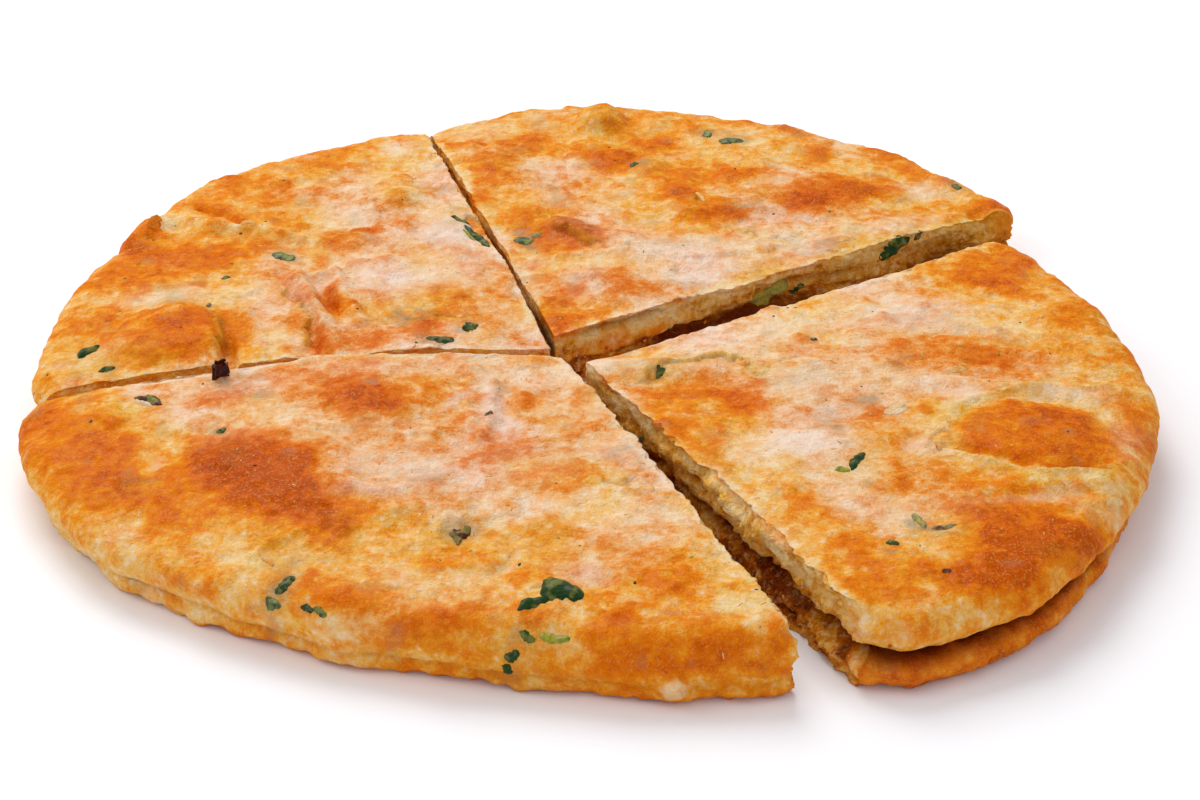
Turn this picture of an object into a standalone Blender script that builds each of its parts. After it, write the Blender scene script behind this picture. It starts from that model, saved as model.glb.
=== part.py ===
"""A fried green onion cake, cut in four, at its real size.

Each quarter is a block of dough bent into a wedge. Its tip lies near the middle of the cake, two
sides are cut faces with the layers of the rolled dough showing, and the third is the rounded rim,
in two lobes where the dough was folded. Its crust is raised in blisters. The larger bits of chopped
onion leaf, the torn flakes of crust and the burnt curl are thin solids fused to their quarter.
Sizes are in millimetres and degrees; MM turns them to metres.
"""
import math
from dataclasses import dataclass

import bmesh
import bpy
import numpy as np
from mathutils import Vector
from mathutils.bvhtree import BVHTree

MM = 0.001

# The cake's middle on the pan, which becomes the origin.
MIDDLE = (-0.6, 4.45)

# How finely each quarter is divided: along each cut, and up the lower and the upper lobe.
CELLS = 20
LOWER_CELLS = 3
UPPER_CELLS = 4

# The rounded rim: how far it draws in at the pan and at the crust, and where each lobe bulges most.
FOOT_ROUND = 3.2
CRUST_ROUND = 5.0
LOWER_CREST = 0.5
UPPER_CREST = 0.42
CORNER_WIDTH = 7.0
RIM_SWELL_SIZE = 16.0
RIM_SWELL_RELIEF = 0.6

# The relief of a cut face: how far it reaches into the crust, where it is full, and its layers.
CUT_BLEND = 4.0
TIP_BLEND = 25.0
LAYERS = 4
LAYER_RELIEF = 0.35
LAYER_WANDER = 0.35
CRUMB_RELIEF = 0.6
CRUMB_SIZE = 7.0
CRUMB_FLATNESS = 2.5
CRUMB_LEVELS = (0.12, 0.93)
GAP_HEIGHT = 0.1
GAP_OPEN = 0.55
GAP_UNEVEN = 0.6

# The crust's own unevenness.
SWELL_SIZE = 24.0
SWELL_RELIEF = 0.45

# A bit of leaf or crust: how thick it stands, how it waves and narrows, how ragged its edge is, its
# division, and how far off its place on the surface is looked up from.
BIT_STANDS = 0.55
BIT_WAVE = 0.25
BIT_TAPER = 0.55
BIT_RAGGED = 0.08
BIT_CELLS = (4, 2)
BIT_CAST = 20.0

# The burnt curl on the front left quarter, by its cut.
CURL_PLACE = (-58.5, -20.0)
CURL_WIDTH = 2.6
CURL_RADIUS = 1.1
CURL_THICK = 0.8
CURL_HEIGHT = 1.5
CURL_START = -100.0
CURL_ROLL = 235.0
CURL_TIGHTENS = 0.35
CURL_NARROWS = 0.3
CURL_CELLS = (7, 2)


@dataclass
class Bit:
    """A thin bit of onion leaf or of torn crust, and the way it faces: round from +X, and up."""
    x: float
    y: float
    length: float
    width: float
    pointing: float
    z: float = 11.0
    facing: tuple = (-90, 90)
    sunk: float = 0.6


@dataclass
class Quarter:
    """One quarter of the cake."""
    name: str
    colour: tuple
    seed: int
    tip: tuple          # where its two cuts meet
    cuts: tuple         # the way each cut runs out from the tip
    rim: tuple          # tip to rim, evenly spaced from the first cut to the second
    crown: tuple        # crust height at the tip; at first cut, middle, second cut halfway; at the rim
    fold: tuple         # height of the fold between the lobes, as a share, along the rim
    fold_depth: tuple   # how deep the fold is, along the rim
    lower_reach: tuple  # how far the lower lobe passes the upper, along the rim
    corners: tuple      # how far the rim draws back where it meets each cut
    lean: tuple         # how far each cut's foot stands out past its crust, at the rim
    seams: tuple        # how deep the gap between the layers is, on each cut
    blisters: tuple     # x, y, half length, half width, the way it points, height
    nubs: tuple         # the way from the tip, height as a share, size, how far it sticks out
    leaves: tuple       # bits of onion leaf
    flakes: tuple       # bits of torn crust


FRONT_LEFT = Quarter(
    name="slice_front_left", colour=(0.80, 0.42, 0.12), seed=11,
    tip=(-5, -9), cuts=(185.5, 293.8), rim=(87.4, 84.8, 76.5, 76, 84),
    crown=(11.5, (14.0, 13.0, 12.6), (9.0, 10.0, 11.0)),
    fold=(0.36, 0.34, 0.30), fold_depth=(6.5, 3.0, 1.0), lower_reach=(-5.0, -1.5, -0.3),
    corners=(2.5, 1.5), lean=(0.0, 0.0), seams=(1.0, 0.8),
    blisters=(
        (-48, -47, 13, 12, 60, 1.6), (-35, -24, 10, 8, 0, 0.9), (-83, -31, 12, 7, 70, 1.2),
        (-19, -61, 4, 4, 0, -1.8), (-27, -59, 3, 3, 0, -0.8), (8, -64, 9, 12, 20, 0.9),
        (-6, -78, 8, 6, 0, 0.6), (-62, -36, 9, 5, 20, -0.8), (-30, -74, 16, 5, 160, 0.7)),
    nubs=((300, 0.30, 2.4, 1.6), (247, 0.30, 4.0, 1.2)),
    leaves=(Bit(-6, -76, 8.5, 7, 35), Bit(-45, -70, 7, 3.5, 80, z=10, facing=(-122, 55)),
            Bit(-38, -76.5, 4.5, 2.5, -10, z=8, facing=(-118, 40)),
            Bit(-69, -24, 6.5, 3, -40),
            Bit(-11, -85, 4.5, 3.5, 80, z=6.5, facing=(-94, 20)), Bit(-19, -60, 4, 3, 40)),
    flakes=(Bit(3, -47, 9, 3.5, -25),))

BACK_LEFT = Quarter(
    name="slice_back_left", colour=(0.84, 0.50, 0.18), seed=23,
    tip=(-7, -2), cuts=(106.4, 188.1), rim=(91, 91.5, 87, 84, 84),
    crown=(10.0, (11.0, 11.5, 11.0), (10.0, 9.5, 8.0)),
    fold=(0.40, 0.40, 0.40), fold_depth=(1.2, 1.2, 2.0), lower_reach=(-0.5, -0.5, -1.0),
    corners=(1.5, 2.0), lean=(-0.8, 0.0), seams=(0.8, 1.2),
    blisters=(
        (-67, -3, 9, 8, 0, 1.8), (-46, 8, 18, 3, -65, 1.1), (-59, -5, 7, 1.6, -80, -1.4),
        (-78, 43, 6, 3, 60, 1.0), (-36, 50, 7, 4, 60, 1.0), (-62, 44, 12, 6, -45, 0.9),
        (-32, 8, 7, 6, 0, -0.6), (-28, -3, 8, 4, 0, 0.8)),
    nubs=((150, 0.8, 2.5, 1.0), (158, 0.7, 3.0, 0.8)),
    leaves=(Bit(-83, -3, 5, 2.8, 60), Bit(-78, -10, 3, 2.2, 20), Bit(-52, 28, 5.5, 3, -50),
            Bit(-21.4, 36, 13, 2.4, -65), Bit(-20, 3, 3, 2.5, 30), Bit(-24.5, -1.8, 4.5, 3, 10)),
    flakes=(Bit(-77, 41, 5, 3, 60),))

BACK_RIGHT = Quarter(
    name="slice_back_right", colour=(0.88, 0.56, 0.22), seed=37,
    tip=(-6.3, 1.7), cuts=(30.0, 107.0), rim=(95, 97, 96, 94, 87.5),
    crown=(10.0, (11.0, 11.5, 11.0), (9.5, 9.5, 9.5)),
    fold=(0.42, 0.40, 0.40), fold_depth=(2.0, 1.2, 1.2), lower_reach=(-0.5, -0.5, -0.5),
    corners=(2.5, 2.0), lean=(1.0, -0.8), seams=(2.2, 0.8),
    blisters=(
        (0, 84, 4, 8, 0, 1.4), (42, 57, 12, 9, 30, 1.0), (-4, 37, 6, 4, -20, 1.0),
        (18, 48, 8, 6, 0, 0.7), (4, 19, 7, 6, 0, 0.7), (20, 42, 30, 3, 10, -0.5),
        (8, 64, 5, 5, 0, -0.5), (-16, 66, 9, 8, 0, 0.6), (70, 46, 5, 4, 30, 0.8)),
    nubs=((94, 0.85, 3.0, 1.4), (50, 0.7, 7.0, 1.3), (33, 0.7, 4.0, 1.8)),
    leaves=(Bit(26, 78, 6, 4.5, 60), Bit(21, 83, 2.5, 4.5, 0), Bit(-11, 35, 5, 3, -60),
            Bit(8, 64, 4, 3.5, 30), Bit(65, 58, 3, 2, -40),
            Bit(53, 37, 9, 3, 6, z=8.5, facing=(-60, 10), sunk=2.5),
            Bit(35, 24, 5, 4, 0, z=6, facing=(-60, 10), sunk=2.5)),
    flakes=(Bit(-3, 37, 8, 5, -20), Bit(16, 51, 4.5, 4.5, 0)))

FRONT_RIGHT = Quarter(
    name="slice_front_right", colour=(0.86, 0.48, 0.14), seed=41,
    tip=(-1, -11), cuts=(-61.3, 33.2), rim=(85, 90, 90.5, 89.5, 89),
    crown=(11.5, (12.8, 12.8, 11.2), (12.0, 11.5, 10.5)),
    fold=(0.42, 0.42, 0.40), fold_depth=(4.5, 5.0, 2.0), lower_reach=(2.0, -2.2, -1.0),
    corners=(4.5, 2.5), lean=(0.9, 0.0), seams=(2.6, 1.0),
    blisters=(
        (69, -34, 12, 11, 0, 2.0), (64, -19, 14, 2.2, -12, 0.9), (70, -47, 14, 2.2, 12, 0.9),
        (60, -64, 12, 10, 30, 1.0), (16, -19, 12, 4, -8, -1.0), (8, -12, 12, 2.5, -4, 0.7),
        (35, -38, 12, 6, 10, 0.7), (78, 6, 14, 8, -70, 0.6), (40, -16, 10, 8, 0, 0.4)),
    nubs=((-20, 0.6, 6.0, 0.7),),
    leaves=(Bit(39.5, -44, 4.5, 2.4, 60), Bit(47.5, -61, 6, 3.5, 10), Bit(43, -66.5, 3, 2, 0),
            Bit(12, -16, 3.5, 2.4, 50)),
    flakes=(Bit(47, -28, 5, 2.2, 30), Bit(22, -15, 10, 3, -15)))

QUARTERS = (FRONT_LEFT, BACK_LEFT, BACK_RIGHT, FRONT_RIGHT)


def smooth_through(values, place):
    """A smooth curve through evenly spaced values, read at place, from 0 to 1."""
    last = len(values) - 1
    padded = np.array([2 * values[0] - values[1], *values, 2 * values[-1] - values[-2]], float)
    cell = np.clip((place * last).astype(int), 0, last - 1)
    part = place * last - cell
    before, start, end, after = (padded[cell + step] for step in range(4))
    curve = before * 2 - start * 5 + end * 4 - after + part * (3 * (start - end) + after - before)
    return start + 0.5 * part * (end - before + part * curve)


def swell(points, size, seed, waves=14):
    """A gentle random unevenness, about -1 to 1, whose swellings are size across."""
    rng = np.random.default_rng(seed)
    directions = rng.normal(size=(waves, points.shape[1])) / size
    phases = rng.uniform(0, 2 * math.pi, waves)
    return np.sin(2 * points @ directions.T + phases).sum(axis=1) / math.sqrt(waves)


def lobe(place, crest, start, peak, end):
    """A rounded bulge of the rim: from start out to peak at crest, and back to end."""
    rise = np.clip(place / crest, 0, 1)
    fall = np.clip((place - crest) / (1 - crest), 0, 1)
    rising = start + (peak - start) * np.sqrt(1 - (1 - rise) ** 2)
    falling = end + (peak - end) * np.sqrt(1 - fall ** 2)
    return np.where(place < crest, rising, falling)


def rim_offset(quarter, turn, level):
    """How far the rim's surface lies from the rim's radius, in two lobes with a fold between."""
    fold = smooth_through(quarter.fold, turn)
    depth = smooth_through(quarter.fold_depth, turn)
    reach = smooth_through(quarter.lower_reach, turn)
    lower = lobe(np.clip(level / fold, 0, 1), LOWER_CREST, reach - FOOT_ROUND, reach, -depth)
    upper = lobe(np.clip((level - fold) / (1 - fold), 0, 1), UPPER_CREST, -depth, 0.0, -CRUST_ROUND)
    return np.where(level < fold, lower, upper)


def cut_relief(quarter, side, along, level):
    """How far a cut face stands out from its plane: dough layers, crumb, and a gap between lobes."""
    fold = quarter.fold[0] if side == 0 else quarter.fold[-1]
    spots = np.stack([along, level * CRUMB_SIZE * CRUMB_FLATNESS], axis=1)
    length = spots[:, :1]
    wander = swell(length, CRUMB_SIZE * 3, quarter.seed + side)
    layers = np.sin(2 * math.pi * (level * LAYERS + LAYER_WANDER * wander)) * LAYER_RELIEF
    crumb = swell(spots, CRUMB_SIZE, quarter.seed + 5 + side) * CRUMB_RELIEF
    uneven = swell(length, CRUMB_SIZE * CRUMB_FLATNESS, quarter.seed + 9 + side)
    gap = np.clip(GAP_OPEN + GAP_UNEVEN * uneven, 0, 1) * np.exp(-((level - fold) / GAP_HEIGHT) ** 2)
    rough = np.sin(math.pi * np.clip(level, *CRUMB_LEVELS))
    return (layers + crumb) * rough - gap * quarter.seams[side]


def wedge(quarter, first_share, second_share, level):
    """Bends a unit block into the quarter, and gives its points in millimetres.

    The block's corner (0, 0) becomes the tip, its two near sides the cuts and its two far sides the
    rim; level runs from the pan side up to the crust.
    """
    out = np.maximum(first_share, second_share)
    safe = np.maximum(out, 1e-9)
    on_first = first_share >= second_share
    turn = np.where(on_first, 0.5 * second_share / safe, 1 - 0.5 * first_share / safe)
    first, second = np.radians(quarter.cuts)
    way = first + (second - first) * turn
    radius = smooth_through(quarter.rim, turn) + rim_offset(quarter, turn, level)
    for cut, corner in zip((first, second), quarter.corners):
        from_corner = np.clip(radius * np.abs(np.sin(way - cut)) / CORNER_WIDTH, 0, 1)
        radius = radius - corner * (1 - from_corner) ** 2
    for nub_way, nub_level, size, stick in quarter.nubs:
        aside = (way - math.radians(nub_way)) * radius / size
        above = (level - nub_level) * quarter.crown[0] / size
        radius = radius + stick * np.exp(-aside ** 2 - above ** 2)
    around = np.stack([way * quarter.rim[0], level * quarter.crown[0]], axis=1)
    lumps = swell(around, RIM_SWELL_SIZE, quarter.seed + 3)
    distance = out * radius + out ** 6 * RIM_SWELL_RELIEF * lumps
    x = quarter.tip[0] + distance * np.cos(way)
    y = quarter.tip[1] + distance * np.sin(way)

    # The height of the crust: a curve through tip, halfway and rim, with swellings and blisters.
    tip_high, halfway, rim_high = quarter.crown
    halfway_high = smooth_through(halfway, turn)
    edge_high = smooth_through(rim_high, turn)
    crown = (tip_high * (1 - out) * (1 - 2 * out) + halfway_high * 4 * out * (1 - out)
             + edge_high * out * (2 * out - 1))
    crown = crown + SWELL_RELIEF * swell(np.stack([x, y], axis=1), SWELL_SIZE, quarter.seed)
    for centre_x, centre_y, half_length, half_width, pointing, height in quarter.blisters:
        cos, sin = math.cos(math.radians(pointing)), math.sin(math.radians(pointing))
        lengthwise = ((x - centre_x) * cos + (y - centre_y) * sin) / half_length
        sideways = ((y - centre_y) * cos - (x - centre_x) * sin) / half_width
        crown = crown + height * np.exp(-(lengthwise ** 2 + sideways ** 2) ** 1.5)
    z = level * crown

    # The cut faces' relief, which fades into the crust and towards the tip.
    for side, cut, outward in ((0, first, -1), (1, second, 1)):
        away = distance * np.abs(np.sin(way - cut))
        fade = np.clip(1 - away / CUT_BLEND, 0, 1) * np.clip(distance / TIP_BLEND, 0, 1)
        slope = quarter.lean[side] * (1 - level) * distance / quarter.rim[0]
        relief = (cut_relief(quarter, side, distance, level) + slope) * fade * outward
        x = x - relief * math.sin(cut)
        y = y + relief * math.cos(cut)
    return np.stack([x - MIDDLE[0], y - MIDDLE[1], z], axis=1)


def level_heights(quarter):
    """The levels of the block's side: close together where a lobe turns over."""
    fold = sum(quarter.fold) / len(quarter.fold)
    lower = [fold * (1 - math.cos(math.pi * k / LOWER_CELLS)) / 2 for k in range(LOWER_CELLS)]
    upper = [fold + (1 - fold) * (1 - math.cos(math.pi * k / UPPER_CELLS)) / 2
             for k in range(UPPER_CELLS + 1)]
    return np.array(lower + upper)


def quarter_mesh(quarter):
    """The quarter as one closed mesh, from a grid that is extruded, divided into levels and bent."""
    bm = bmesh.new()
    bmesh.ops.create_grid(bm, x_segments=CELLS, y_segments=CELLS, size=0.5)
    base = list(bm.faces)
    raised = bmesh.ops.extrude_face_region(bm, geom=base, use_keep_orig=True)["geom"]
    bmesh.ops.translate(bm, vec=(0, 0, 1), verts=[v for v in raised if isinstance(v, bmesh.types.BMVert)])
    bmesh.ops.reverse_faces(bm, faces=base)
    upright = [e for e in bm.edges if abs(e.verts[0].co.z - e.verts[1].co.z) > 0.5]
    bmesh.ops.subdivide_edges(bm, edges=upright, cuts=LOWER_CELLS + UPPER_CELLS - 1)

    block = np.array([v.co[:] for v in bm.verts])
    levels = level_heights(quarter)
    level = levels[np.rint(block[:, 2] * (len(levels) - 1)).astype(int)]
    points = wedge(quarter, block[:, 0] + 0.5, block[:, 1] + 0.5, level) * MM
    for vertex, point in zip(bm.verts, points):
        vertex.co = point
    pan_side = [e for e in bm.edges if all(v.co.z == 0 for v in e.verts)]
    bmesh.ops.dissolve_limit(bm, angle_limit=0.001, edges=pan_side,
                             verts=[v for v in bm.verts if v.co.z == 0])
    bmesh.ops.triangulate(bm, faces=bm.faces)
    bmesh.ops.recalc_face_normals(bm, faces=bm.faces)
    return bm


def bit_solid(crust, bit, seed):
    """A bit of leaf or crust: a thin wavy solid set in the crust, both its faces split alike."""
    rng = np.random.default_rng(seed)
    round_way, up_way = (math.radians(angle) for angle in bit.facing)
    outward = Vector((math.cos(up_way) * math.cos(round_way), math.cos(up_way) * math.sin(round_way),
                      math.sin(up_way)))
    right = Vector((-math.sin(round_way), math.cos(round_way), 0))
    above = outward.cross(right)
    centre = Vector((bit.x - MIDDLE[0], bit.y - MIDDLE[1], bit.z)) * MM
    cos, sin = math.cos(math.radians(bit.pointing)), math.sin(math.radians(bit.pointing))

    bm = bmesh.new()
    bmesh.ops.create_grid(bm, x_segments=BIT_CELLS[0], y_segments=BIT_CELLS[1], size=0.5)
    bmesh.ops.triangulate(bm, faces=bm.faces)
    for vertex in bm.verts:
        taper = 1 - BIT_TAPER * (2 * vertex.co.x) ** 2
        lengthwise = vertex.co.x * bit.length
        sideways = (vertex.co.y * taper + rng.uniform(-BIT_RAGGED, BIT_RAGGED)) * bit.width
        place = centre + (right * (lengthwise * cos - sideways * sin)
                          + above * (lengthwise * sin + sideways * cos)) * MM
        hit = crust.ray_cast(place + outward * BIT_CAST * MM, -outward)[0]
        if hit is None:
            raise ValueError(f"{bit} reaches past its quarter")
        set_in = rng.uniform(-BIT_WAVE, BIT_WAVE) - bit.sunk
        vertex.co = hit + outward * set_in * MM
    raised = bmesh.ops.extrude_face_region(bm, geom=list(bm.faces), use_keep_orig=True)["geom"]
    top = [v for v in raised if isinstance(v, bmesh.types.BMVert)]
    bmesh.ops.translate(bm, vec=outward * (bit.sunk + BIT_STANDS) * MM, verts=top)
    bmesh.ops.recalc_face_normals(bm, faces=bm.faces)
    return bm


def curl_solid(crust):
    """The burnt curl: a thick strip rolled up on itself, standing on the crust."""
    bm = bmesh.new()
    bmesh.ops.create_grid(bm, x_segments=CURL_CELLS[0], y_segments=CURL_CELLS[1], size=0.5)
    bmesh.ops.triangulate(bm, faces=bm.faces)
    raised = bmesh.ops.extrude_face_region(bm, geom=list(bm.faces), use_keep_orig=True)["geom"]
    outside = {v for v in raised if isinstance(v, bmesh.types.BMVert)}
    foot = Vector((CURL_PLACE[0] - MIDDLE[0], CURL_PLACE[1] - MIDDLE[1], 0)) * MM
    floor = crust.ray_cast(foot + Vector((0, 0, 1)), Vector((0, 0, -1)))[0].z / MM
    for vertex in bm.verts:
        share = vertex.co.x + 0.5
        roll = math.radians(CURL_START + share * CURL_ROLL)
        radius = CURL_RADIUS * (1 - CURL_TIGHTENS * share) + (CURL_THICK if vertex in outside else 0)
        sideways = vertex.co.y * CURL_WIDTH * (1 - CURL_NARROWS * share)
        high = floor + CURL_HEIGHT + radius * math.sin(roll)
        vertex.co = foot + Vector((radius * math.cos(roll), sideways, high)) * MM
    bmesh.ops.recalc_face_normals(bm, faces=bm.faces)
    return bm


def new_object(name, bm, collection):
    mesh = bpy.data.meshes.new(name)
    bm.to_mesh(mesh)
    bm.free()
    piece = bpy.data.objects.new(name, mesh)
    collection.objects.link(piece)
    return piece


def fuse(piece, bits):
    """Joins a collection's solids to the piece and removes them."""
    union = piece.modifiers.new("fused", "BOOLEAN")
    union.operation = "UNION"
    union.operand_type = "COLLECTION"
    union.collection = bits
    union.solver = "EXACT"
    bpy.context.view_layer.update()
    graph = bpy.context.evaluated_depsgraph_get()
    joined = bpy.data.meshes.new_from_object(piece.evaluated_get(graph))
    piece.modifiers.clear()
    piece.data = joined
    for bit in list(bits.objects):
        bpy.data.objects.remove(bit)
    bpy.data.collections.remove(bits)


def crust_material(name, colour):
    material = bpy.data.materials.new(name)
    material.use_nodes = True
    surface = material.node_tree.nodes["Principled BSDF"]
    surface.inputs["Base Color"].default_value = (*colour, 1)
    surface.inputs["Roughness"].default_value = 0.55
    surface.inputs["Metallic"].default_value = 0.0
    return material


def main():
    for old in list(bpy.data.objects):
        bpy.data.objects.remove(old)
    cake = bpy.data.collections.new("green_onion_cake")
    bpy.context.scene.collection.children.link(cake)
    for quarter in QUARTERS:
        bm = quarter_mesh(quarter)
        crust = BVHTree.FromBMesh(bm)
        piece = new_object(quarter.name, bm, cake)
        bits = bpy.data.collections.new(quarter.name + "_bits")
        bpy.context.scene.collection.children.link(bits)
        for number, bit in enumerate(quarter.leaves + quarter.flakes):
            new_object(f"bit_{number}", bit_solid(crust, bit, quarter.seed * 100 + number), bits)
        if quarter is FRONT_LEFT:
            new_object("burnt_curl", curl_solid(crust), bits)
        fuse(piece, bits)
        piece.data.materials.clear()
        piece.data.materials.append(crust_material(quarter.name + "_crust", quarter.colour))
        piece.data.shade_smooth()
        piece.data.set_sharp_from_angle(angle=math.radians(50))


main()
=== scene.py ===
import itertools
import math
from dataclasses import dataclass

import bmesh
import bpy
import numpy as np
from mathutils import Matrix, Vector
from mathutils.bvhtree import BVHTree


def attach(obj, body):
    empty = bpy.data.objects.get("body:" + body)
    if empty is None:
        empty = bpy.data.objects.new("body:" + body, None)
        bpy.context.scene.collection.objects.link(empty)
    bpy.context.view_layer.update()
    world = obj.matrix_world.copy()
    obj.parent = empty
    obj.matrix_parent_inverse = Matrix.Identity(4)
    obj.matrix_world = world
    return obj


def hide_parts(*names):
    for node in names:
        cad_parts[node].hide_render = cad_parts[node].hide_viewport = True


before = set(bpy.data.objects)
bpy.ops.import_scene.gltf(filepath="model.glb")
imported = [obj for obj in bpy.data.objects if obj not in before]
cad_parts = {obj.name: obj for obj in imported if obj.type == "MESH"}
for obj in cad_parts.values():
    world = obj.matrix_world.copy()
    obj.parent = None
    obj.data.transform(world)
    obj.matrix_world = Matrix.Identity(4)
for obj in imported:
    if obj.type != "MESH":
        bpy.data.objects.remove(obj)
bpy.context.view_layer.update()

# The studio. A matt white table top that runs off on all sides, lit softly from all round, with a
# large light behind and above that puts a low sheen on the oily crust, and a weak one in front.
MM = 0.001
TABLE_SIZE = 6000
LOOK_AT = Vector((1.81, -6.10, 0)) * MM
CAMERA_DISTANCE = 494.58 * MM
CAMERA_HEIGHT_ANGLE = math.radians(29.98)
CAMERA_LENS = 90
SENSOR_WIDTH = 36
ROOM_BRIGHTNESS = 0.635
LAMPS = (
    ("lamp_behind", (-0.35, 0.95, 1.15), 0.9, 13.2, "FFFFFF"),
    ("lamp_left", (-1.0, -0.1, 0.8), 0.7, 2.6, "FFFFFF"),
    ("lamp_front", (0.5, -1.2, 0.9), 1.0, 1.8, "FFFFFF"),
)


def linear(hex_colour):
    """An sRGB hex colour as linear red, green and blue."""
    shares = [int(hex_colour[k:k + 2], 16) / 255 for k in (0, 2, 4)]
    return tuple(c / 12.92 if c <= 0.04045 else ((c + 0.055) / 1.055) ** 2.4 for c in shares)


def node(tree, kind, values=None, links=None, stops=None, **settings):
    """Adds a shader node: its settings, its inputs' values, what feeds them, and a ramp's stops."""
    new = tree.nodes.new("ShaderNode" + kind)
    for name, setting in settings.items():
        setattr(new, name, setting)
    for name, value in (values or {}).items():
        new.inputs[name].default_value = value
    for name, socket in (links or {}).items():
        tree.links.new(socket, new.inputs[name])
    if stops:
        elements = new.color_ramp.elements
        elements.remove(elements[-1])
        elements[0].position = stops[0][0]
        elements[0].color = (*linear(stops[0][1]), 1)
        for place, colour in stops[1:]:
            elements.new(place).color = (*linear(colour), 1)
    return new


def new_material(name):
    """A material made of shader nodes, and its node tree."""
    material = bpy.data.materials.new(name)
    material.use_nodes = True
    return material, material.node_tree


def set_surface(tree, values, links):
    """Sets the values of a material's surface, and links what feeds it."""
    surface = tree.nodes["Principled BSDF"]
    for name, value in values.items():
        surface.inputs[name].default_value = value
    for name, socket in links.items():
        tree.links.new(socket, surface.inputs[name])


def new_piece(name, bm, material):
    """Turns a bmesh in metres into an object at the origin, with smooth faces."""
    mesh = bpy.data.meshes.new(name)
    bm.to_mesh(mesh)
    bm.free()
    mesh.materials.append(material)
    mesh.shade_smooth()
    piece = bpy.data.objects.new(name, mesh)
    bpy.context.scene.collection.objects.link(piece)
    return piece


# Matt white laminate: nearly even, with a slight cloudiness that keeps it from being one flat tone.
white_laminate, tree = new_material("white_laminate")
clouds = node(tree, "TexNoise", {"Scale": 6.0, "Detail": 2.0})
tone = node(tree, "ValToRGB", links={"Fac": clouds.outputs["Fac"]}, stops=((0, "FAFAFB"), (1, "FDFDFE")))
set_surface(tree, {"Roughness": 0.9, "Specular IOR Level": 0.1}, {"Base Color": tone.outputs["Color"]})

bm = bmesh.new()
bmesh.ops.create_grid(bm, x_segments=4, y_segments=4, size=TABLE_SIZE / 2 * MM)
table_top = new_piece("table_top", bm, white_laminate)
table_top.location.z = -0.05 * MM

camera = bpy.data.objects.new("camera", bpy.data.cameras.new("camera"))
camera.data.lens = CAMERA_LENS
camera.data.sensor_width = SENSOR_WIDTH
toward_camera = Vector((0, -math.cos(CAMERA_HEIGHT_ANGLE), math.sin(CAMERA_HEIGHT_ANGLE)))
camera.location = LOOK_AT + toward_camera * CAMERA_DISTANCE
camera.rotation_euler = (math.pi / 2 - CAMERA_HEIGHT_ANGLE, 0, 0)
bpy.context.scene.collection.objects.link(camera)
bpy.context.scene.camera = camera

for name, place, size, power, colour in LAMPS:
    lamp = bpy.data.objects.new(name, bpy.data.lights.new(name, "AREA"))
    lamp.data.size = size
    lamp.data.energy = power
    lamp.data.color = linear(colour)
    lamp.location = place
    lamp.rotation_euler = (-Vector(place)).to_track_quat("-Z", "Y").to_euler()
    bpy.context.scene.collection.objects.link(lamp)

room = bpy.data.worlds.new("room")
room.use_nodes = True
room.node_tree.nodes["Background"].inputs["Color"].default_value = (*linear("FBFBFF"), 1)
room.node_tree.nodes["Background"].inputs["Strength"].default_value = ROOM_BRIGHTNESS
bpy.context.scene.world = room
bpy.context.scene.view_settings.view_transform = "Standard"


# The four quarters. Each is unleavened wheat dough, rolled out with oil and chopped scallion, coiled
# and rolled flat again, pan-fried on both sides and cut. The crust is blistered and browned in
# patches, the cuts show the layers, and the rim is in two lobes where the dough was folded.
# Sizes are in millimetres and degrees.

# The cake's middle, which becomes the origin.
MIDDLE = (-0.6, 4.45)

# How finely each quarter is divided: along each cut, how much finer at the edges, and up each lobe.
CELLS = 236
EDGE_FINENESS = 0.3
LOWER_CELLS = 11
UPPER_CELLS = 17

# The rounded rim, the relief of the cuts and the crust's unevenness, with the sizes that the solids
# have, and how far the fold wanders up and down.
FOOT_ROUND = 3.2
CRUST_ROUND = 5.0
LOWER_CREST = 0.5
UPPER_CREST = 0.42
CORNER_WIDTH = 7.0
RIM_SWELL_SIZE = 16.0
RIM_SWELL_RELIEF = 0.6
CUT_BLEND = 4.0
TIP_BLEND = 25.0
LAYERS = 4
LAYER_RELIEF = 0.35
LAYER_WANDER = 0.35
CRUMB_RELIEF = 0.6
CRUMB_SIZE = 7.0
CRUMB_FLATNESS = 2.5
CRUMB_LEVELS = (0.12, 0.93)
GAP_HEIGHT = 0.1
GAP_OPEN = 0.55
GAP_UNEVEN = 0.6
SWELL_SIZE = 24.0
SWELL_RELIEF = 0.45
FOLD_WANDER = 0.022
FOLD_WANDER_SIZE = 7.0


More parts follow.
